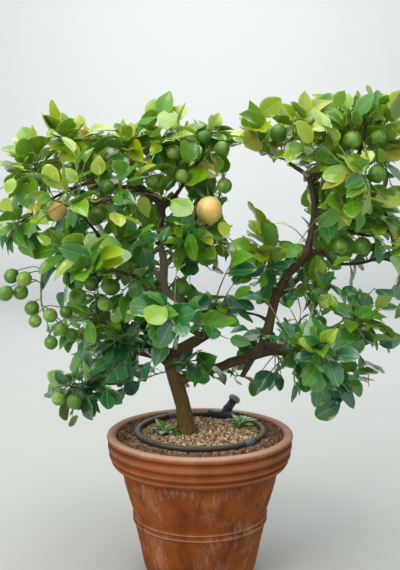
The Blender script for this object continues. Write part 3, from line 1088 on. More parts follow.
def fruit_shape(name, outline, dent, phase):
    """A citrus fruit of unit radius that hangs along +Y, with its star-shaped calyx."""
    points, faces = revolve([(r, -h) for r, h in outline[::-1]], FRUIT_SIDES)
    swell = 1 + dent * np.sin(2 * np.arctan2(points[:, 1], points[:, 0]) + phase)
    points[:, :2] *= swell[:, None]
    lobes, lobe_faces = revolve([(r, -h) for r, h in CALYX_OUTLINE[::-1]], CALYX_SIDES)
    ragged = np.hypot(lobes[:, 0], lobes[:, 1]) > 0.2
    angle = np.arctan2(lobes[:, 1], lobes[:, 0])
    lobes[ragged, :2] *= (1 + LOBE_REACH * np.cos(LOBES * angle[ragged]))[:, None]
    faces = faces + [[i + len(points) for i in face] for face in lobe_faces]
    calyx = [0.0] * len(points) + [1.0] * len(lobes)
    points = np.concatenate([points, lobes])
    points = np.stack([points[:, 0], -points[:, 2], points[:, 1]], axis=1)
    return mesh_object(name, points, faces, [("calyx", "FLOAT", calyx)])


# How each kind of grain is stretched.
GRAIN_KINDS = ((1.3, 0.9, 0.6), (0.9, 0.9, 0.8), (1.6, 0.8, 0.45), (1, 1, 0.7), (1.2, 0.7, 0.7),
               (0.8, 1, 0.5))


def grain_shape(name, stretch, seed):
    """A chip of unit size with a dozen or so corners."""
    golden = (1 + 5 ** 0.5) / 2
    corners = np.array([(a, b, 0) for a in (-1, 1) for b in (-golden, golden)])
    corners = np.concatenate([np.roll(corners, k, axis=1) for k in range(3)]) / 1.9
    source = draws(seed)
    corners *= np.array([[0.72 + 0.5 * next(source)] for _ in corners])
    corners *= stretch
    return mesh_object(name, corners, hull_faces(corners), smooth_shaded=False)


def hull_faces(corners):
    """Triangles of the convex hull of a few corners, facing out."""
    faces = []
    middle = corners.mean(axis=0)
    for a, b, c in itertools.combinations(range(len(corners)), 3):
        normal = np.cross(corners[b] - corners[a], corners[c] - corners[a])
        reach = (corners - corners[a]) @ normal
        if reach.max() < 1e-9 or reach.min() > -1e-9:
            outward = normal @ (corners[a] - middle) > 0
            faces.append((a, b, c) if outward else (a, c, b))
    return faces


def shape_store(name, shapes):
    """A collection outside the scene that holds the shapes that are scattered."""
    store = bpy.data.collections.new(name)
    for piece in shapes:
        bpy.context.scene.collection.objects.unlink(piece)
        store.objects.link(piece)
    return store


def discard(store):
    """Removes the shapes that were scattered and their collection."""
    for piece in list(store.objects):
        bpy.data.objects.remove(piece)
    bpy.data.collections.remove(store)


# ---------------------------------------------------------------- geometry nodes
# What a plan's points carry for the nodes.
BORNE_FIELDS = {"borne": "BOOLEAN", "radius": "FLOAT", "along": "FLOAT_VECTOR",
                "facing": "FLOAT_VECTOR", "span": "FLOAT_VECTOR", "kind": "INT"}


def bearing_group():
    """Stems along a mesh's edges, and a leaf or fruit on each point that bears one."""
    tree, given, result = node_group("bearing_stems", Shapes="Collection", Stem_sides="Int",
                                     Stem_material="Material", Borne_material="Material")
    kept = {name: add(tree, "GeometryNodeInputNamedAttribute", data_type=kind, Name=name)
            for name, kind in BORNE_FIELDS.items()}
    split = add(tree, "GeometryNodeSeparateGeometry", given["Geometry"], kept["borne"], domain="POINT")
    line = add(tree, "GeometryNodeMeshToCurve", split.outputs["Inverted"])
    sized = add(tree, "GeometryNodeSetCurveRadius", line, Radius=kept["radius"])
    circle = add(tree, "GeometryNodeCurvePrimitiveCircle", Resolution=given["Stem sides"], Radius=1.0)
    tube = add(tree, "GeometryNodeCurveToMesh", sized, circle, Scale=kept["radius"], Fill_Caps=True)
    stems = add(tree, "GeometryNodeSetMaterial", tube, Material=given["Stem material"])
    shapes = add(tree, "GeometryNodeCollectionInfo", given["Shapes"], Separate_Children=True,
                 Reset_Children=True)
    turn = add(tree, "FunctionNodeAxesToRotation", kept["along"], kept["facing"], primary_axis="Y",
               secondary_axis="Z")
    borne = add(tree, "GeometryNodeInstanceOnPoints", split.outputs["Selection"], Instance=shapes,
                Pick_Instance=True, Instance_Index=kept["kind"], Rotation=turn, Scale=kept["span"])
    real = add(tree, "GeometryNodeRealizeInstances", borne)
    dressed = add(tree, "GeometryNodeSetMaterial", real, Material=given["Borne material"])
    whole = add(tree, "GeometryNodeJoinGeometry")
    for part in (stems, dressed):
        fill(whole, part)
    fill(result, whole)
    return tree


def scatter_group():
    """Grains scattered over the faces of a mesh."""
    tree, given, result = node_group("scattered_grains", Shapes="Collection", Density="Float",
                                     Grain_size="Float", Material="Material")
    spots = add(tree, "GeometryNodeDistributePointsOnFaces", given["Geometry"],
                Density=given["Density"], Seed=7)
    shapes = add(tree, "GeometryNodeCollectionInfo", given["Shapes"], Separate_Children=True,
                 Reset_Children=True)
    turn = add(tree, "FunctionNodeRandomValue", (0.0, 0.0, 0.0), (6.283, 6.283, 6.283), Seed=3,
               data_type="FLOAT_VECTOR")
    share = add(tree, "FunctionNodeRandomValue", 0.45, 1.0, Seed=5, data_type="FLOAT")
    grown = add(tree, "ShaderNodeMath", share, 1.6, operation="POWER")
    size = add(tree, "ShaderNodeMath", grown, given["Grain size"], operation="MULTIPLY")
    pick = add(tree, "FunctionNodeRandomValue", 0, len(GRAIN_KINDS) - 1, Seed=11, data_type="INT")
    grains = add(tree, "GeometryNodeInstanceOnPoints", spots, Instance=shapes, Pick_Instance=True,
                 Instance_Index=pick, Rotation=turn, Scale=size)
    tint = add(tree, "FunctionNodeRandomValue", 0.0, 1.0, Seed=19, data_type="FLOAT")
    shaded = add(tree, "GeometryNodeStoreNamedAttribute", grains, Name="shade", Value=tint,
                 data_type="FLOAT", domain="INSTANCE")
    real = add(tree, "GeometryNodeRealizeInstances", shaded)
    fill(result, add(tree, "GeometryNodeSetMaterial", real, Material=given["Material"]))
    return tree


def borne_piece(name, lines, borne, group, inputs):
    """A piece of stems, as lists of (x, y, z, radius), and of what they bear, all in millimetres."""
    points, edges, radii = [], [], []
    for line in lines:
        first = len(points)
        points.extend(line[:, :3])
        radii.extend(line[:, 3])
        edges.extend((i, i + 1) for i in range(first, first + len(line) - 1))
    stem_count = len(points)
    points.extend(item["root"] for item in borne)
    values = {
        "borne": [False] * stem_count + [True] * len(borne),
        "radius": np.array(radii + [0.0] * len(borne)) * MM,
        "span": np.array([(0.0, 0.0, 0.0)] * stem_count + [item["span"] for item in borne]) * MM,
    }
    for key, field, zero in (("along", "along", (0.0, 0.0, 0.0)), ("normal", "facing", (0.0, 0.0, 0.0)),
                             ("age", "age", 0.0), ("tone", "tone", 0.0), ("kind", "kind", 0)):
        values[field] = [zero] * stem_count + [item[key] for item in borne]
    attributes = [(field, BORNE_FIELDS.get(field, "FLOAT"), held) for field, held in values.items()]
    piece = mesh_object(name + "_plan", np.array(points) * MM, [], attributes, edges,
                        smooth_shaded=False)
    add_nodes_modifier(piece, group, inputs)
    return plain_copy(piece, name)


# Radii of a green stem and its shoots, where they start and where they end.
STEM_TAPER = (3.4, 2.4)
SHOOT_TAPER = (2.3, 1.15)


def leafy_piece(name, stem, shoots, seed, taken, group, inputs):
    """A piece of shoots that bear at least two leaves each, with their stem if they share one."""
    lines, leaves = [], []
    if stem is not None:
        lines.append(tapered(stem, *STEM_TAPER))
    for shoot in shoots:
        grown = grow_leaves(shoot, taken)
        if len(grown) > 1:
            leaves += grown
            end = max(leaf["t"] for leaf in grown)
            lines.append(tapered([shoot_point(shoot, t) for t in np.linspace(0, end, 8)], *SHOOT_TAPER))
    source = draws(seed)
    for leaf in leaves:
        leaf.update(span=(leaf["width"], leaf["length"], leaf["length"]), tone=next(source),
                    kind=int(next(source) * len(LEAF_KINDS)))
    return borne_piece(name, lines, leaves, group, inputs)


# ---------------------------------------------------------------- operators
class CITRUS_OT_camera(bpy.types.Operator):
    """Adds the camera, level with the crown and looking a little down"""
    bl_idname = "citrus.camera"
    bl_label = "Camera"

    def execute(self, context):
        data = bpy.data.cameras.new("camera")
        data.sensor_fit = "HORIZONTAL"
        data.sensor_width = SENSOR_WIDTH
        data.lens = LENS
        data.clip_end = 50
        camera = link_object("camera", data)
        camera.location = EYE * MM
        camera.rotation_euler = (math.radians(90 - LOOKING_DOWN), 0, 0)
        context.scene.camera = camera
        return {"FINISHED"}


PIPE_RADIUS = 0.008
TUBE_SIDES = 24
# The tee's run from an end to its middle, and a coupling's end and rib: degrees on, and the radius.
TEE_HALF = ((0, 8.6), (0, 15.0), (0.4, 16.0), (3.9, 16.0), (4.4, 15.0), (4.9, 13.4), (9, 13.2))
TEE_WAIST = 14.4
SLEEVE_BORE, SLEEVE_MOUTH, SLEEVE_SKIN = 8.3, 10.2, 11
SLEEVE_RIBS, RIB_STEP = 4, 2.6
SLEEVE_GROOVE = ((0.9, 11), (1.15, 10.3), (2.2, 10.3), (2.45, 11))
# The tee's branch and cap as (radius, height): the branch's foot, one rib and, from the tip, its end.
BRANCH_FOOT = ((0, -0.002), (0.0142, -0.002), (0.0142, 0.015), (0.0132, 0.0165), (0.0132, 0.0175))
BRANCH_RIBS = (0.0185, 0.0295, 0.0028)   # first, last at most, and step
BRANCH_RIB = ((0.0146, 0), (0.0146, 0.0015), (0.0136, 0.0019), (0.0136, 0.0026))
BRANCH_NECK = (0.0128, 0.0305)
BRANCH_END = ((0.0124, -0.004), (0.0134, -0.003), (0.0134, 0), (0, 0))
CAP_OUTLINE = ((0, 0.0003), (0.0168, 0.0003), (0.018, 0.0012), (0.0182, 0.004), (0.0174, 0.005),
               (0.0182, 0.006), (0.018, 0.0105), (0.0162, 0.0135), (0.0124, 0.016), (0.007, 0.0172),
               (0, 0.0175))


def ring_point(angle):
    """A point on the middle line of the drip ring."""
    turn = math.radians(angle)
    return np.array([RING_RADIUS * math.cos(turn), RING_RADIUS * math.sin(turn), RING_LEVEL]) * MM


def arc_tube(name, stations, inner=None):
    """A tube along the ring through stations of (angle, radius), closed at its ends or on a bore."""
    bore = [(stations[-1][0], inner), (stations[0][0], inner)] if inner else []
    rows = []
    for angle, radius in [*stations, *bore]:
        middle = ring_point(angle)
        out = unit(middle * (1, 1, 0))
        rows.append([middle + (out * math.cos(a) + UP * math.sin(a)) * radius * MM
                     for a in np.arange(TUBE_SIDES) * 2 * math.pi / TUBE_SIDES])
    points = np.concatenate(rows)
    ids = np.arange(len(points)).reshape(len(rows), TUBE_SIDES)
    after = np.roll(ids, -1, axis=1)
    pairs = [(a, a + 1) for a in range(len(rows) - 1)] + ([(len(rows) - 1, 0)] if inner else [])
    faces = [[int(i) for i in (ids[a][k], ids[b][k], after[b][k], after[a][k])]
             for a, b in pairs for k in range(TUBE_SIDES)]
    if not inner:
        faces += [ids[0].tolist(), ids[-1][::-1].tolist()]
    return mesh_object(name, points, faces, sharp=40)


def turned(name, outline, start, along):
    """A turned piece whose axis runs from a point in a direction."""
    points, faces = revolve(outline, TUBE_SIDES)
    turn = Vector((0, 0, 1)).rotation_difference(Vector(along)).to_matrix()
    return mesh_object(name, points @ np.array(turn).T + start, faces, sharp=40)


class CITRUS_OT_drip_ring(bpy.types.Operator):
    """Lays the drip pipe with its tee, cap and couplings on the soil"""
    bl_idname = "citrus.drip_ring"
    bl_label = "Drip ring"

    def execute(self, context):
        ends = (TEE_ANGLE + TEE_HALF_ANGLE + 0.2, TEE_ANGLE - TEE_HALF_ANGLE + 359.8)
        angles = np.linspace(*ends, 97)
        curve = bpy.data.curves.new("drip_pipe", "CURVE")
        curve.dimensions = "3D"
        curve.bevel_depth = PIPE_RADIUS
        curve.bevel_resolution = 5
        curve.use_fill_caps = True
        line = curve.splines.new("POLY")
        line.points.add(len(angles) - 1)
        for spot, angle in zip(line.points, angles):
            spot.co = (*ring_point(angle), 1)
        pipe = link_object("drip_pipe", curve)
        black = context.scene.citrus_colours.pipe
        curve.materials.append(moulded("extruded_polyethylene", black, "#9A8C7C", 0.5))

        a, b = TEE_ANGLE - TEE_HALF_ANGLE, TEE_ANGLE + TEE_HALF_ANGLE
        tee = arc_tube("drip_tee_body", [*((a + on, radius) for on, radius in TEE_HALF),
                                         (TEE_ANGLE, TEE_WAIST),
                                         *((b - on, radius) for on, radius in TEE_HALF[::-1])])
        middle, tip = ring_point(TEE_ANGLE), np.array(BRANCH_TIP) * MM
        along = unit(tip - middle)
        reach = np.linalg.norm(tip - middle)
        outline = [*BRANCH_FOOT, *((radius, rib + on) for rib in np.arange(*BRANCH_RIBS)
                                   for radius, on in BRANCH_RIB), BRANCH_NECK]
        outline += [(radius, reach + on) for radius, on in BRANCH_END]
        branch = turned("drip_tee_branch", outline, middle, along)
        cap = turned("drip_cap_moulded", CAP_OUTLINE, tip, along)
        sleeves = []
        for name, angle in SLEEVE_ANGLES.items():
            s, e = angle - SLEEVE_HALF_ANGLE, angle + SLEEVE_HALF_ANGLE
            grooves = [(s + k * RIB_STEP + on, radius) for k in range(SLEEVE_RIBS)
                       for on, radius in SLEEVE_GROOVE]
            stations = [(s, SLEEVE_MOUTH), (s + 0.3, SLEEVE_SKIN), *grooves, (e, SLEEVE_MOUTH)]
            sleeves.append(arc_tube(name + "_ribbed", stations, SLEEVE_BORE))

        plain = moulded("moulded_polypropylene", "#1F2C38", "#77808A", 0.42)
        pale = moulded("pale_moulded_polypropylene", "#8C95A4", "#C9C6CC", 0.5)
        worn = moulded("worn_polypropylene", "#596470", "#A6A9AE", 0.5)
        for piece, stuff, slot, nodes in (
                (cap, pale, "cap", ["drip_cap"]),
                *((sleeve, worn, "fitting", [name]) for sleeve, name in zip(sleeves, SLEEVE_ANGLES)),
                (tee, plain, "fitting", ["drip_tee"]), (branch, plain, "fitting", [])):
            piece.data.materials.append(stuff)
            place(piece, slot, *nodes)
        place(pipe, "pipe", "drip_ring")
        tuple(ring_point(ends[0]))
        return {"FINISHED"}


POT_OUTLINE = (
    (0, 0), (149, 0), (152, 2), (160, 25), (174, 95), (185.5, 146), (188, 150), (190, 152),
    (190.6, 157), (189.6, 161.5), (187.6, 164), (189.6, 166.5), (190.8, 171), (190, 175.5),
    (188, 178.5), (189, 182), (200, 215), (213, 262), (220, 301), (222, 306), (228, 307.5), (236, 309),
    (243, 315), (249, 324), (250, 328), (247.5, 331), (252, 334.5), (255, 340), (255, 346),
    (252.5, 350.5), (251, 352.5), (254.5, 355), (257.5, 360), (258.5, 366), (258, 373), (256, 377.5),
    (253.6, 380), (256.5, 382.5), (259.5, 386), (261, 391), (259.5, 396), (255, 399.2), (248, 400),
    (241, 399), (236, 395.5), (233, 389), (231, 380), (205, 300), (136, 20), (0, 20),
)
OUT_OF_ROUND = 0.0016   # as a share of the radius, as thrown pots are
POT_SIDES = 160
DRAIN_HOLES, DRAIN_CIRCLE, DRAIN_RADIUS, DRILL_ENDS = 4, 0.08, 0.009, (-0.02, 0.04)


class CITRUS_OT_pot(bpy.types.Operator):
    """Turns the terracotta pot and bores its drain holes"""
    bl_idname = "citrus.pot"
    bl_label = "Pot"

    def execute(self, context):
        sizes = context.scene.citrus_sizes
        scale = np.array([sizes.pot_radius / POT_RADIUS, sizes.pot_height / POT_HEIGHT])
        outline = [tuple(np.array(p) * scale) for p in POT_OUTLINE]
        points, faces = revolve(outline, POT_SIDES, wobble=OUT_OF_ROUND)
        for point in points:
            point *= 1 + OUT_OF_ROUND * noise.noise(Vector(point * 22)) * np.array([1, 1, 0])
        pot = mesh_object("pot_turned", points, faces, sharp=50)
        cutters = []
        low, high = DRILL_ENDS
        drill = ((0, low), (DRAIN_RADIUS, low), (DRAIN_RADIUS, high), (0, high))
        for i in range(DRAIN_HOLES):
            angle = 2 * math.pi * (i + 0.5) / DRAIN_HOLES
            shaft, sides = revolve(drill, TUBE_SIDES)
            shaft += (DRAIN_CIRCLE * math.cos(angle), DRAIN_CIRCLE * math.sin(angle), 0)
            cutters.append(mesh_object("drill", shaft, sides))
            pot.modifiers.new("bore", "BOOLEAN").object = cutters[-1]
        pot = plain_copy(pot, "terracotta_pot")
        for cutter in cutters:
            bpy.data.objects.remove(cutter)
        pot.data.materials.clear()
        pot.data.materials.append(fired_clay(context.scene.citrus_colours))
        place(pot, "terracotta", "pot")
        return {"FINISHED"}


SOIL_EDGE = 0.2305
SOIL_RINGS = 26
# The soil under its surface, inside the pot: (radius, height).
SOIL_SIDE = ((0, 0.0204), (0.135, 0.0204), (0.2042, 0.300), (0.2303, 0.379))
HEAP_HEIGHT, HEAP_RADIUS = 0.006, 0.13
DIP_DEPTH, DIP_WIDTH = 0.0035, 0.012   # the furrow in which the pipe lies
LUMPS = ((0.0035, 26), (0.002, 90))   # height and how many to a metre, for coarse and fine lumps
SETTLED = 0.0015


class CITRUS_OT_soil(bpy.types.Operator):
    """Fills the pot with potting mix and strews grit over it"""
    bl_idname = "citrus.soil"
    bl_label = "Soil and grit"

    def execute(self, context):
        sizes = context.scene.citrus_sizes
        level = SOIL_LEVEL * MM
        top = [(SOIL_EDGE * (1 - k / SOIL_RINGS), level) for k in range(SOIL_RINGS)] + [(0, level)]
        points, faces = revolve([*SOIL_SIDE, *top], 96)
        for point in points:
            if point[2] > level - 0.001:
                reach = np.linalg.norm(point[:2])
                fade = min(1, (SOIL_EDGE - reach) / 0.02)
                heap = HEAP_HEIGHT * max(0, 1 - reach / HEAP_RADIUS)
                dip = -DIP_DEPTH * math.exp(-((reach - RING_RADIUS * MM) / DIP_WIDTH) ** 2)
                rough = sum(height * noise.noise(Vector(point * scale)) for height, scale in LUMPS)
                point[2] += fade * (heap + dip + rough) - SETTLED
        soil = mesh_object("potting_mix", points, faces)
        soil.data.materials.append(potting_mix())
        place(soil, "soil", "soil")

        upper = [face for face in faces if all(points[i][2] > level - 0.007 for i in face)]
        bed = mesh_object("grit_bed", points, upper)
        store = shape_store("chips", [grain_shape(f"chip_{i}", stretch, SEEDS["chip"] + i)
                                      for i, stretch in enumerate(GRAIN_KINDS)])
        add_nodes_modifier(bed, scatter_group(), {"Shapes": store, "Density": float(sizes.grain_count),
                                                  "Grain size": sizes.grain * 2, "Material": grit()})
        place(plain_copy(bed, "grit"), "soil")
        discard(store)
        return {"FINISHED"}


ROOT_FLARE, FLARE_HEIGHT, FLARED_FROM = 0.3, 30, 15   # share of the radius, only in limbs over 15 mm
BARK_RELIEF = 0.035   # share of the radius
WOOD_SIDES = 14
# Where bark has worn pale: a place and how far it reaches.
WEATHERED = ((-103, -5, 900, 60), (-100, -5, 850, 70), (-92, -5, 790, 70), (289, -10, 1117, 20),
             (60, -50, 660, 30))


class CITRUS_OT_wood(bpy.types.Operator):
    """Grows the trunk and limbs together in one skin of bark"""
    bl_idname = "citrus.wood"
    bl_label = "Trunk and limbs"

    def execute(self, context):
        lines = []
        for seed, limb in enumerate(LIMBS.values()):
            line = samples(limb, (len(limb) - 1) * 10)
            for i, point in enumerate(line):
                lump = noise.noise(Vector((i * 0.21, seed * 3.7, 0)))
                rise = max(0, point[2] - SOIL_LEVEL)
                flare = ROOT_FLARE * math.exp(-rise / FLARE_HEIGHT) if point[3] > FLARED_FROM else 0
                point[3] = point[3] * (1 + 0.13 * lump + flare) + 0.3
            lines.append(line)
        bark = living_bark(context.scene.citrus_colours)
        wood = borne_piece("limbs", lines, [], bearing_group(), {"Stem sides": WOOD_SIDES,
                                                                 "Stem material": bark})
        remesh = wood.modifiers.new("grown together", "REMESH")
        remesh.mode = "VOXEL"
        remesh.voxel_size = context.scene.citrus_sizes.bark_voxel
        soften = wood.modifiers.new("soften", "SMOOTH")
        soften.factor = 0.5
        soften.iterations = 4
        wood = plain_copy(wood, "trunk_and_limbs")
        mesh = wood.data
        mesh.shade_smooth()

        # Bark is rough in proportion to the limb's girth, which the material reads too.
        tree = kdtree.KDTree(len(LIMB_POINTS))
        for i, point in enumerate(LIMB_POINTS):
            tree.insert(point[:3] * MM, i)
        tree.balance()
        spots, outward = np.empty((2, len(mesh.vertices) * 3))
        mesh.vertices.foreach_get("co", spots)
        mesh.vertices.foreach_get("normal", outward)
        spots, outward = spots.reshape(-1, 3), outward.reshape(-1, 3)
        girth = np.array([LIMB_POINTS[tree.find(spot)[1]][3] for spot in spots]) * MM
        rough = np.array([noise.fractal(Vector(spot * 95), 1.0, 2.0, 3)
                          + 0.6 * noise.noise(Vector(spot * 30)) for spot in spots])
        relief = rough * BARK_RELIEF * girth
        mesh.vertices.foreach_set("co", (spots + outward * relief[:, None]).ravel())
        worn = np.zeros(len(spots))
        for *middle, reach in WEATHERED:
            worn = np.maximum(worn, 1 - np.linalg.norm(spots / MM - middle, axis=1) / reach)
        for name, values in (("girth", girth), ("worn", worn)):
            mesh.attributes.new(name, "FLOAT", "POINT").data.foreach_set("value", values)
        mesh.update()
        mesh.materials.clear()
        mesh.materials.append(bark)
        place(wood, "bark", "wood")
        return {"FINISHED"}


# Ties round limbs: a place near the limb, turns, length along it, radius of the twine, how it swells at
# its middle, passes along the limb (0 for a plain coil) and colour.
TIES = {"nest_tie": ((-169, -50, 706), 9, 26, 1.7, 0.35, 3, "#5A4230"),
        "raffia_tie": ((22, -50, 704), 5, 24, 1.0, 0, 0, "#A9A04A"),
        "raffia_tie_right": ((221, -30, 853), 4, 26, 0.9, 0, 0, "#9C9448")}
TURN_STEPS = 9
UNEVEN = 0.14   # how far the turns differ from each other, as a share of their radius
LIFTED = 1.4   # from the bark to the twine's middle, in radii of the twine
LOOSE_END = (6, 14)   # how far the end lies to one side, and how far down it hangs


class CITRUS_OT_ties(bpy.types.Operator):
    """Winds twine and raffia round three limbs"""
    bl_idname = "citrus.ties"
    bl_label = "Ties"

    def execute(self, context):
        group = bearing_group()
        for index, (name, tie) in enumerate(TIES.items()):
            spot, turns, length, thick, swell, passes, tint = tie
            away, line = min(((np.linalg.norm(limb[:, :3] - spot, axis=1), limb)
                              for limb in LIMB_LINES.values()), key=lambda pair: pair[0].min())
            i = int(np.clip(away.argmin(), 1, len(line) - 2))
            along = unit(line[i + 1, :3] - line[i - 1, :3])
            side = unit(np.cross(along, (0.3, 1, 0.1)))
            over = np.cross(along, side)
            source = draws(SEEDS["tie"] + index)
            path = []
            steps = turns * TURN_STEPS
            for k in range(steps + 1):
                t = k / steps
                angle = 2 * math.pi * k / TURN_STEPS
                bulge = 1 + swell * math.sin(math.pi * t) + UNEVEN * (next(source) - 0.5)
                reach = (line[i, 3] + thick * LIFTED) * bulge
                shift = math.sin(passes * math.pi * t) * length / 2 if passes else (t - 0.5) * length
                path.append(line[i, :3] + along * shift
                            + (side * math.cos(angle) + over * math.sin(angle)) * reach)
            aside, down = LOOSE_END
            path.append(path[-1] - UP * down + side * aside)
            twine = tapered(samples(path, len(path) * 3), thick, thick)
            inputs = {"Stem sides": 6, "Stem material": twisted_twine(name, tint)}
            place(borne_piece(name, [twine], [], group, inputs), "bark")
        return {"FINISHED"}


class CITRUS_OT_foliage(bpy.types.Operator):
    """Grows every leafy spray"""
    bl_idname = "citrus.foliage"
    bl_label = "Leafy sprays"

    def execute(self, context):
        shapes = shape_store("leaf_shapes", [leaf_shape(f"leaf_{i}", *kind)
                                             for i, kind in enumerate(LEAF_KINDS)])
        inputs = {"Shapes": shapes, "Stem sides": context.scene.citrus_sizes.stem_sides,
                  "Stem material": green_wood(),
                  "Borne material": waxy_leaf("waxy_citrus_leaf", context.scene.citrus_colours)}
        group = bearing_group()
        taken = []

        def grow(name, shoots, seed, stem=None, nodes=()):
            place(leafy_piece(name, stem, shoots, seed, taken, group, inputs), "leaf", *nodes)

        # Whatever is planned later leaves out the leaves that would touch earlier ones.
        plans = {name: plan_spray(*plan, SEEDS["spray"] + i)
                 for i, (name, plan) in enumerate(SPRAYS.items())}
        stems = {name: samples(path, 10) for name, (path, shoots) in plans.items()}
        limbs = [line[len(line) // 3:, :3] for line in LIMB_LINES.values()]
        wood = np.concatenate([*limbs, *stems.values()])
        grow("top_shoots", top_shoots(wood, SEEDS["top"]), SEEDS["top_leaf"])
        for i, (name, (path, shoots)) in enumerate(plans.items()):
            grow(name + "_leaves", shoots, SEEDS["spray_leaf"] + i, stems[name], [name])
        for i, (name, spans) in enumerate(FILLS.items()):
            shoots = fill_shoots(LIMBS[name], spans, SEEDS["fill"] + i)
            grow(name + "_side_leaves", shoots, SEEDS["fill_leaf"] + i)
        twigs = scattered_twigs(wood, SEEDS["twig"])
        for i in range(TWIG_PIECES):
            shoots = itertools.islice(twigs, TWIG_COUNT // TWIG_PIECES)
            grow(f"twigs_{i}", shoots, SEEDS["twig_leaf"] + i)
        discard(shapes)
        return {"FINISHED"}


RIPENESS = {"ripe_lemon": 0.85, "ripe_lemon_left": 0.95}   # how light the ripe peel is
TWIG_TAPER = (3.2, 2.2)
STALK_RADIUS = 1.5
STALK_FROM = 1.3   # a stalk leaves the twig where it is nearest to a point this far over the fruit
STALK_TO = 1.1   # and ends this far from the fruit's middle, both in the fruit's radii
HANG, SWAY = 0.8, 0.25   # how much the weight turns the fruit down, and how far its stalk bows


class CITRUS_OT_fruit(bpy.types.Operator):
    """Hangs the green and ripe fruit on their twigs"""
    bl_idname = "citrus.fruit"
    bl_label = "Fruit"

    def execute(self, context):
        colours = context.scene.citrus_colours
        shapes = shape_store("fruit_shapes", [fruit_shape(f"fruit_{i}", *kind)
                                              for i, kind in enumerate(FRUIT_KINDS)])
        stem_stuff = green_wood()
        green = citrus_peel("green_citrus_peel", "#3D6B2A", colours.green_peel, "#8FAE55")
        ripe = citrus_peel("ripe_citrus_peel", "#E29A3A", colours.ripe_peel, "#F3D694")
        group = bearing_group()
        for index, (name, (stem, fruits)) in enumerate(BUNCHES.items()):
            stem_line = samples(stem_path(stem), 12)
            lines = [tapered(stem_line, *TWIG_TAPER)]
            source = draws(SEEDS["fruit"] + index)
            borne = []
            is_ripe = name in RIPENESS
            for *centre, radius in fruits:
                centre = np.array(centre, float)
                hold = nearest(stem_line, centre + UP * STALK_FROM * radius)
                axis = unit(unit(centre - hold) - HANG * UP)
                crown = centre - axis * STALK_TO * radius
                swing = (hold + crown) / 2 - axis * SWAY * np.linalg.norm(crown - hold)
                lines.append(tapered(samples([hold, swing, crown], 6), STALK_RADIUS, STALK_RADIUS))
                facing = unit(np.cross(axis, (1, 0.3 * next(source), 0)))
                borne.append({"root": centre, "along": axis, "normal": facing, "span": (radius,) * 3,
                              "age": 0.0, "tone": RIPENESS.get(name, next(source)),
                              "kind": 2 if is_ripe else int(2 * next(source))})
            piece = borne_piece(name + "_fruit", lines, borne, group,
                                {"Shapes": shapes, "Stem sides": 6, "Stem material": stem_stuff,
                                 "Borne material": ripe if is_ripe else green})
            place(piece, "ripe_fruit" if is_ripe else "green_fruit", name)
        discard(shapes)
        return {"FINISHED"}


WEED_LEAVES = 18
WEED_STEM = ((0, 0, -8, 1.6), (0, 0, 2, 1.5), (2, 0, 10, 1.2))   # from its place on the soil


class CITRUS_OT_weeds(bpy.types.Operator):
    """Grows the small weeds in the soil"""
    bl_idname = "citrus.weeds"
    bl_label = "Weeds"

    def execute(self, context):
        shapes = shape_store("weed_shapes", [leaf_shape(f"weed_{i}", *LEAF_KINDS[i]) for i in (0, 4)])
        inputs = {"Shapes": shapes, "Stem sides": 5, "Stem material": green_wood(),
                  "Borne material": waxy_leaf("soft_weed_leaf", context.scene.citrus_colours)}
        group = bearing_group()
        for index, (name, ((x, y), usual)) in enumerate(WEEDS.items()):
            source = draws(SEEDS["weed"] + index)
            borne = []
            for i in range(WEED_LEAVES):
                angle = math.radians(i * GOLDEN_ANGLE)
                along = unit(np.array([math.cos(angle), math.sin(angle), 0.12 + 0.6 * next(source)]))
                size = usual * (0.7 + 0.7 * next(source))
                borne.append({"root": np.array([x, y, SOIL_LEVEL + 2 + i * 0.6]), "along": along,
                              "normal": unit(UP - along * along.dot(UP)),
                              "span": (size * 0.5, size, size), "age": 1.3 - 0.3 * index,
                              "tone": 0.15 + 0.75 * next(source), "kind": i % 2})
            stem = np.array(WEED_STEM) + (x, y, SOIL_LEVEL, 0)
            place(borne_piece(name + "_leaves", [stem], borne, group, inputs), "weed", name)
        discard(shapes)
        return {"FINISHED"}


# The studio in metres: the floor runs back, turns up and becomes the wall.
FLOOR_FRONT, WALL_AT, WALL_TOP, HALF_WIDTH, COVE_RADIUS = -9.0, 8.5, 8.0, 10.0, 2.0
# Lamps: place, what they face, width, power in watts and colour.
LAMPS = {
    "sky": ((-0.4, -0.4, 5.6), (0, 0, 0.8), 4.4, 165, "#FFFDF6"),
    "key": ((-2.4, -3.0, 2.6), (0, 0, 0.7), 1.8, 85, "#FFF5E4"),
    "back": ((0.6, 3.2, 3.8), (0, 0, 0.8), 3.0, 42, "#FFFCF2"),
    "wall": ((0, 4.6, 4.6), (0, WALL_AT, 1.6), 5.0, 130, "#F8FAFF"),
}


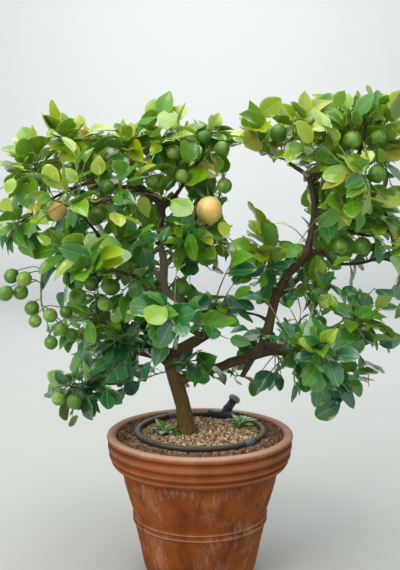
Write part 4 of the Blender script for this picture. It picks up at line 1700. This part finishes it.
class CITRUS_OT_stage(bpy.types.Operator):
    """Adds the pale floor and wall and the soft light"""
    bl_idname = "citrus.stage"
    bl_label = "Stage"

    def execute(self, context):
        scene = context.scene
        bend = WALL_AT - COVE_RADIUS
        profile = [(FLOOR_FRONT, 0.0), (bend, 0.0),
                   *((bend + COVE_RADIUS * math.sin(a), COVE_RADIUS * (1 - math.cos(a)))
                     for a in np.linspace(0.1, math.pi / 2, 14)), (WALL_AT, WALL_TOP)]
        points = [(x, y, z) for y, z in profile for x in (-HALF_WIDTH, HALF_WIDTH)]
        faces = [(2 * i, 2 * i + 1, 2 * i + 3, 2 * i + 2) for i in range(len(profile) - 1)]
        floor = mesh_object("studio_floor", points, faces)
        floor.data.materials.append(painted_floor())
        world = bpy.data.worlds.new("studio")
        world.use_nodes = True
        sky = world.node_tree
        aim = add(sky, "ShaderNodeSeparateXYZ", add(sky, "ShaderNodeTexCoord").outputs["Generated"])
        height = add(sky, "ShaderNodeMapRange", aim.outputs["Z"], From_Min=-0.2, From_Max=0.9)
        tint = add(sky, "ShaderNodeValToRGB", height,
                   stops=((0.0, "#454A40"), (0.17, "#9CA1A2"), (0.5, "#CDD2D6"), (1.0, "#FFFFFF")))
        fill(sky.nodes["Background"], Color=tint, Strength=1.25)
        scene.world = world
        for name, (at, facing, width, power, tint) in LAMPS.items():
            data = bpy.data.lights.new(name, "AREA")
            data.size = width
            data.energy = power
            data.color = colour(tint)[:3]
            lamp = link_object(name, data)
            lamp.location = at
            lamp.rotation_euler = (Vector(facing) - Vector(at)).to_track_quat("-Z", "Y").to_euler()
        scene.view_settings.view_transform = "Standard"
        return {"FINISHED"}


class CITRUS_PT_panel(bpy.types.Panel):
    """Lists the tree's sizes and colours and the steps that make it"""
    bl_label = "Potted citrus tree"
    bl_idname = "CITRUS_PT_panel"
    bl_space_type = "VIEW_3D"
    bl_region_type = "UI"
    bl_category = "Citrus"

    def draw(self, context):
        for group in (context.scene.citrus_sizes, context.scene.citrus_colours):
            for key in group.bl_rna.properties.keys():
                if key not in ("rna_type", "name"):
                    self.layout.prop(group, key)
        for operator in OPERATORS:
            self.layout.operator(operator.bl_idname)


OPERATORS = (CITRUS_OT_camera, CITRUS_OT_drip_ring, CITRUS_OT_pot, CITRUS_OT_soil, CITRUS_OT_wood,
             CITRUS_OT_ties, CITRUS_OT_foliage, CITRUS_OT_fruit, CITRUS_OT_weeds, CITRUS_OT_stage)
CLASSES = (CitrusSizes, CitrusColours, *OPERATORS, CITRUS_PT_panel)


def register():
    """Registers the classes and the scene's two groups of properties."""
    for item in CLASSES:
        bpy.utils.register_class(item)
    bpy.types.Scene.citrus_sizes = PointerProperty(type=CitrusSizes)
    bpy.types.Scene.citrus_colours = PointerProperty(type=CitrusColours)


def unregister():
    """Takes back what register() did."""
    del bpy.types.Scene.citrus_colours
    del bpy.types.Scene.citrus_sizes
    for item in reversed(CLASSES):
        bpy.utils.unregister_class(item)


def main():
    """Makes the whole scene."""
    register()
    for operator in OPERATORS:
        group, name = operator.bl_idname.split(".")
        getattr(getattr(bpy.ops, group), name)()
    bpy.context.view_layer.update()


if __name__ == "__main__":
    main()
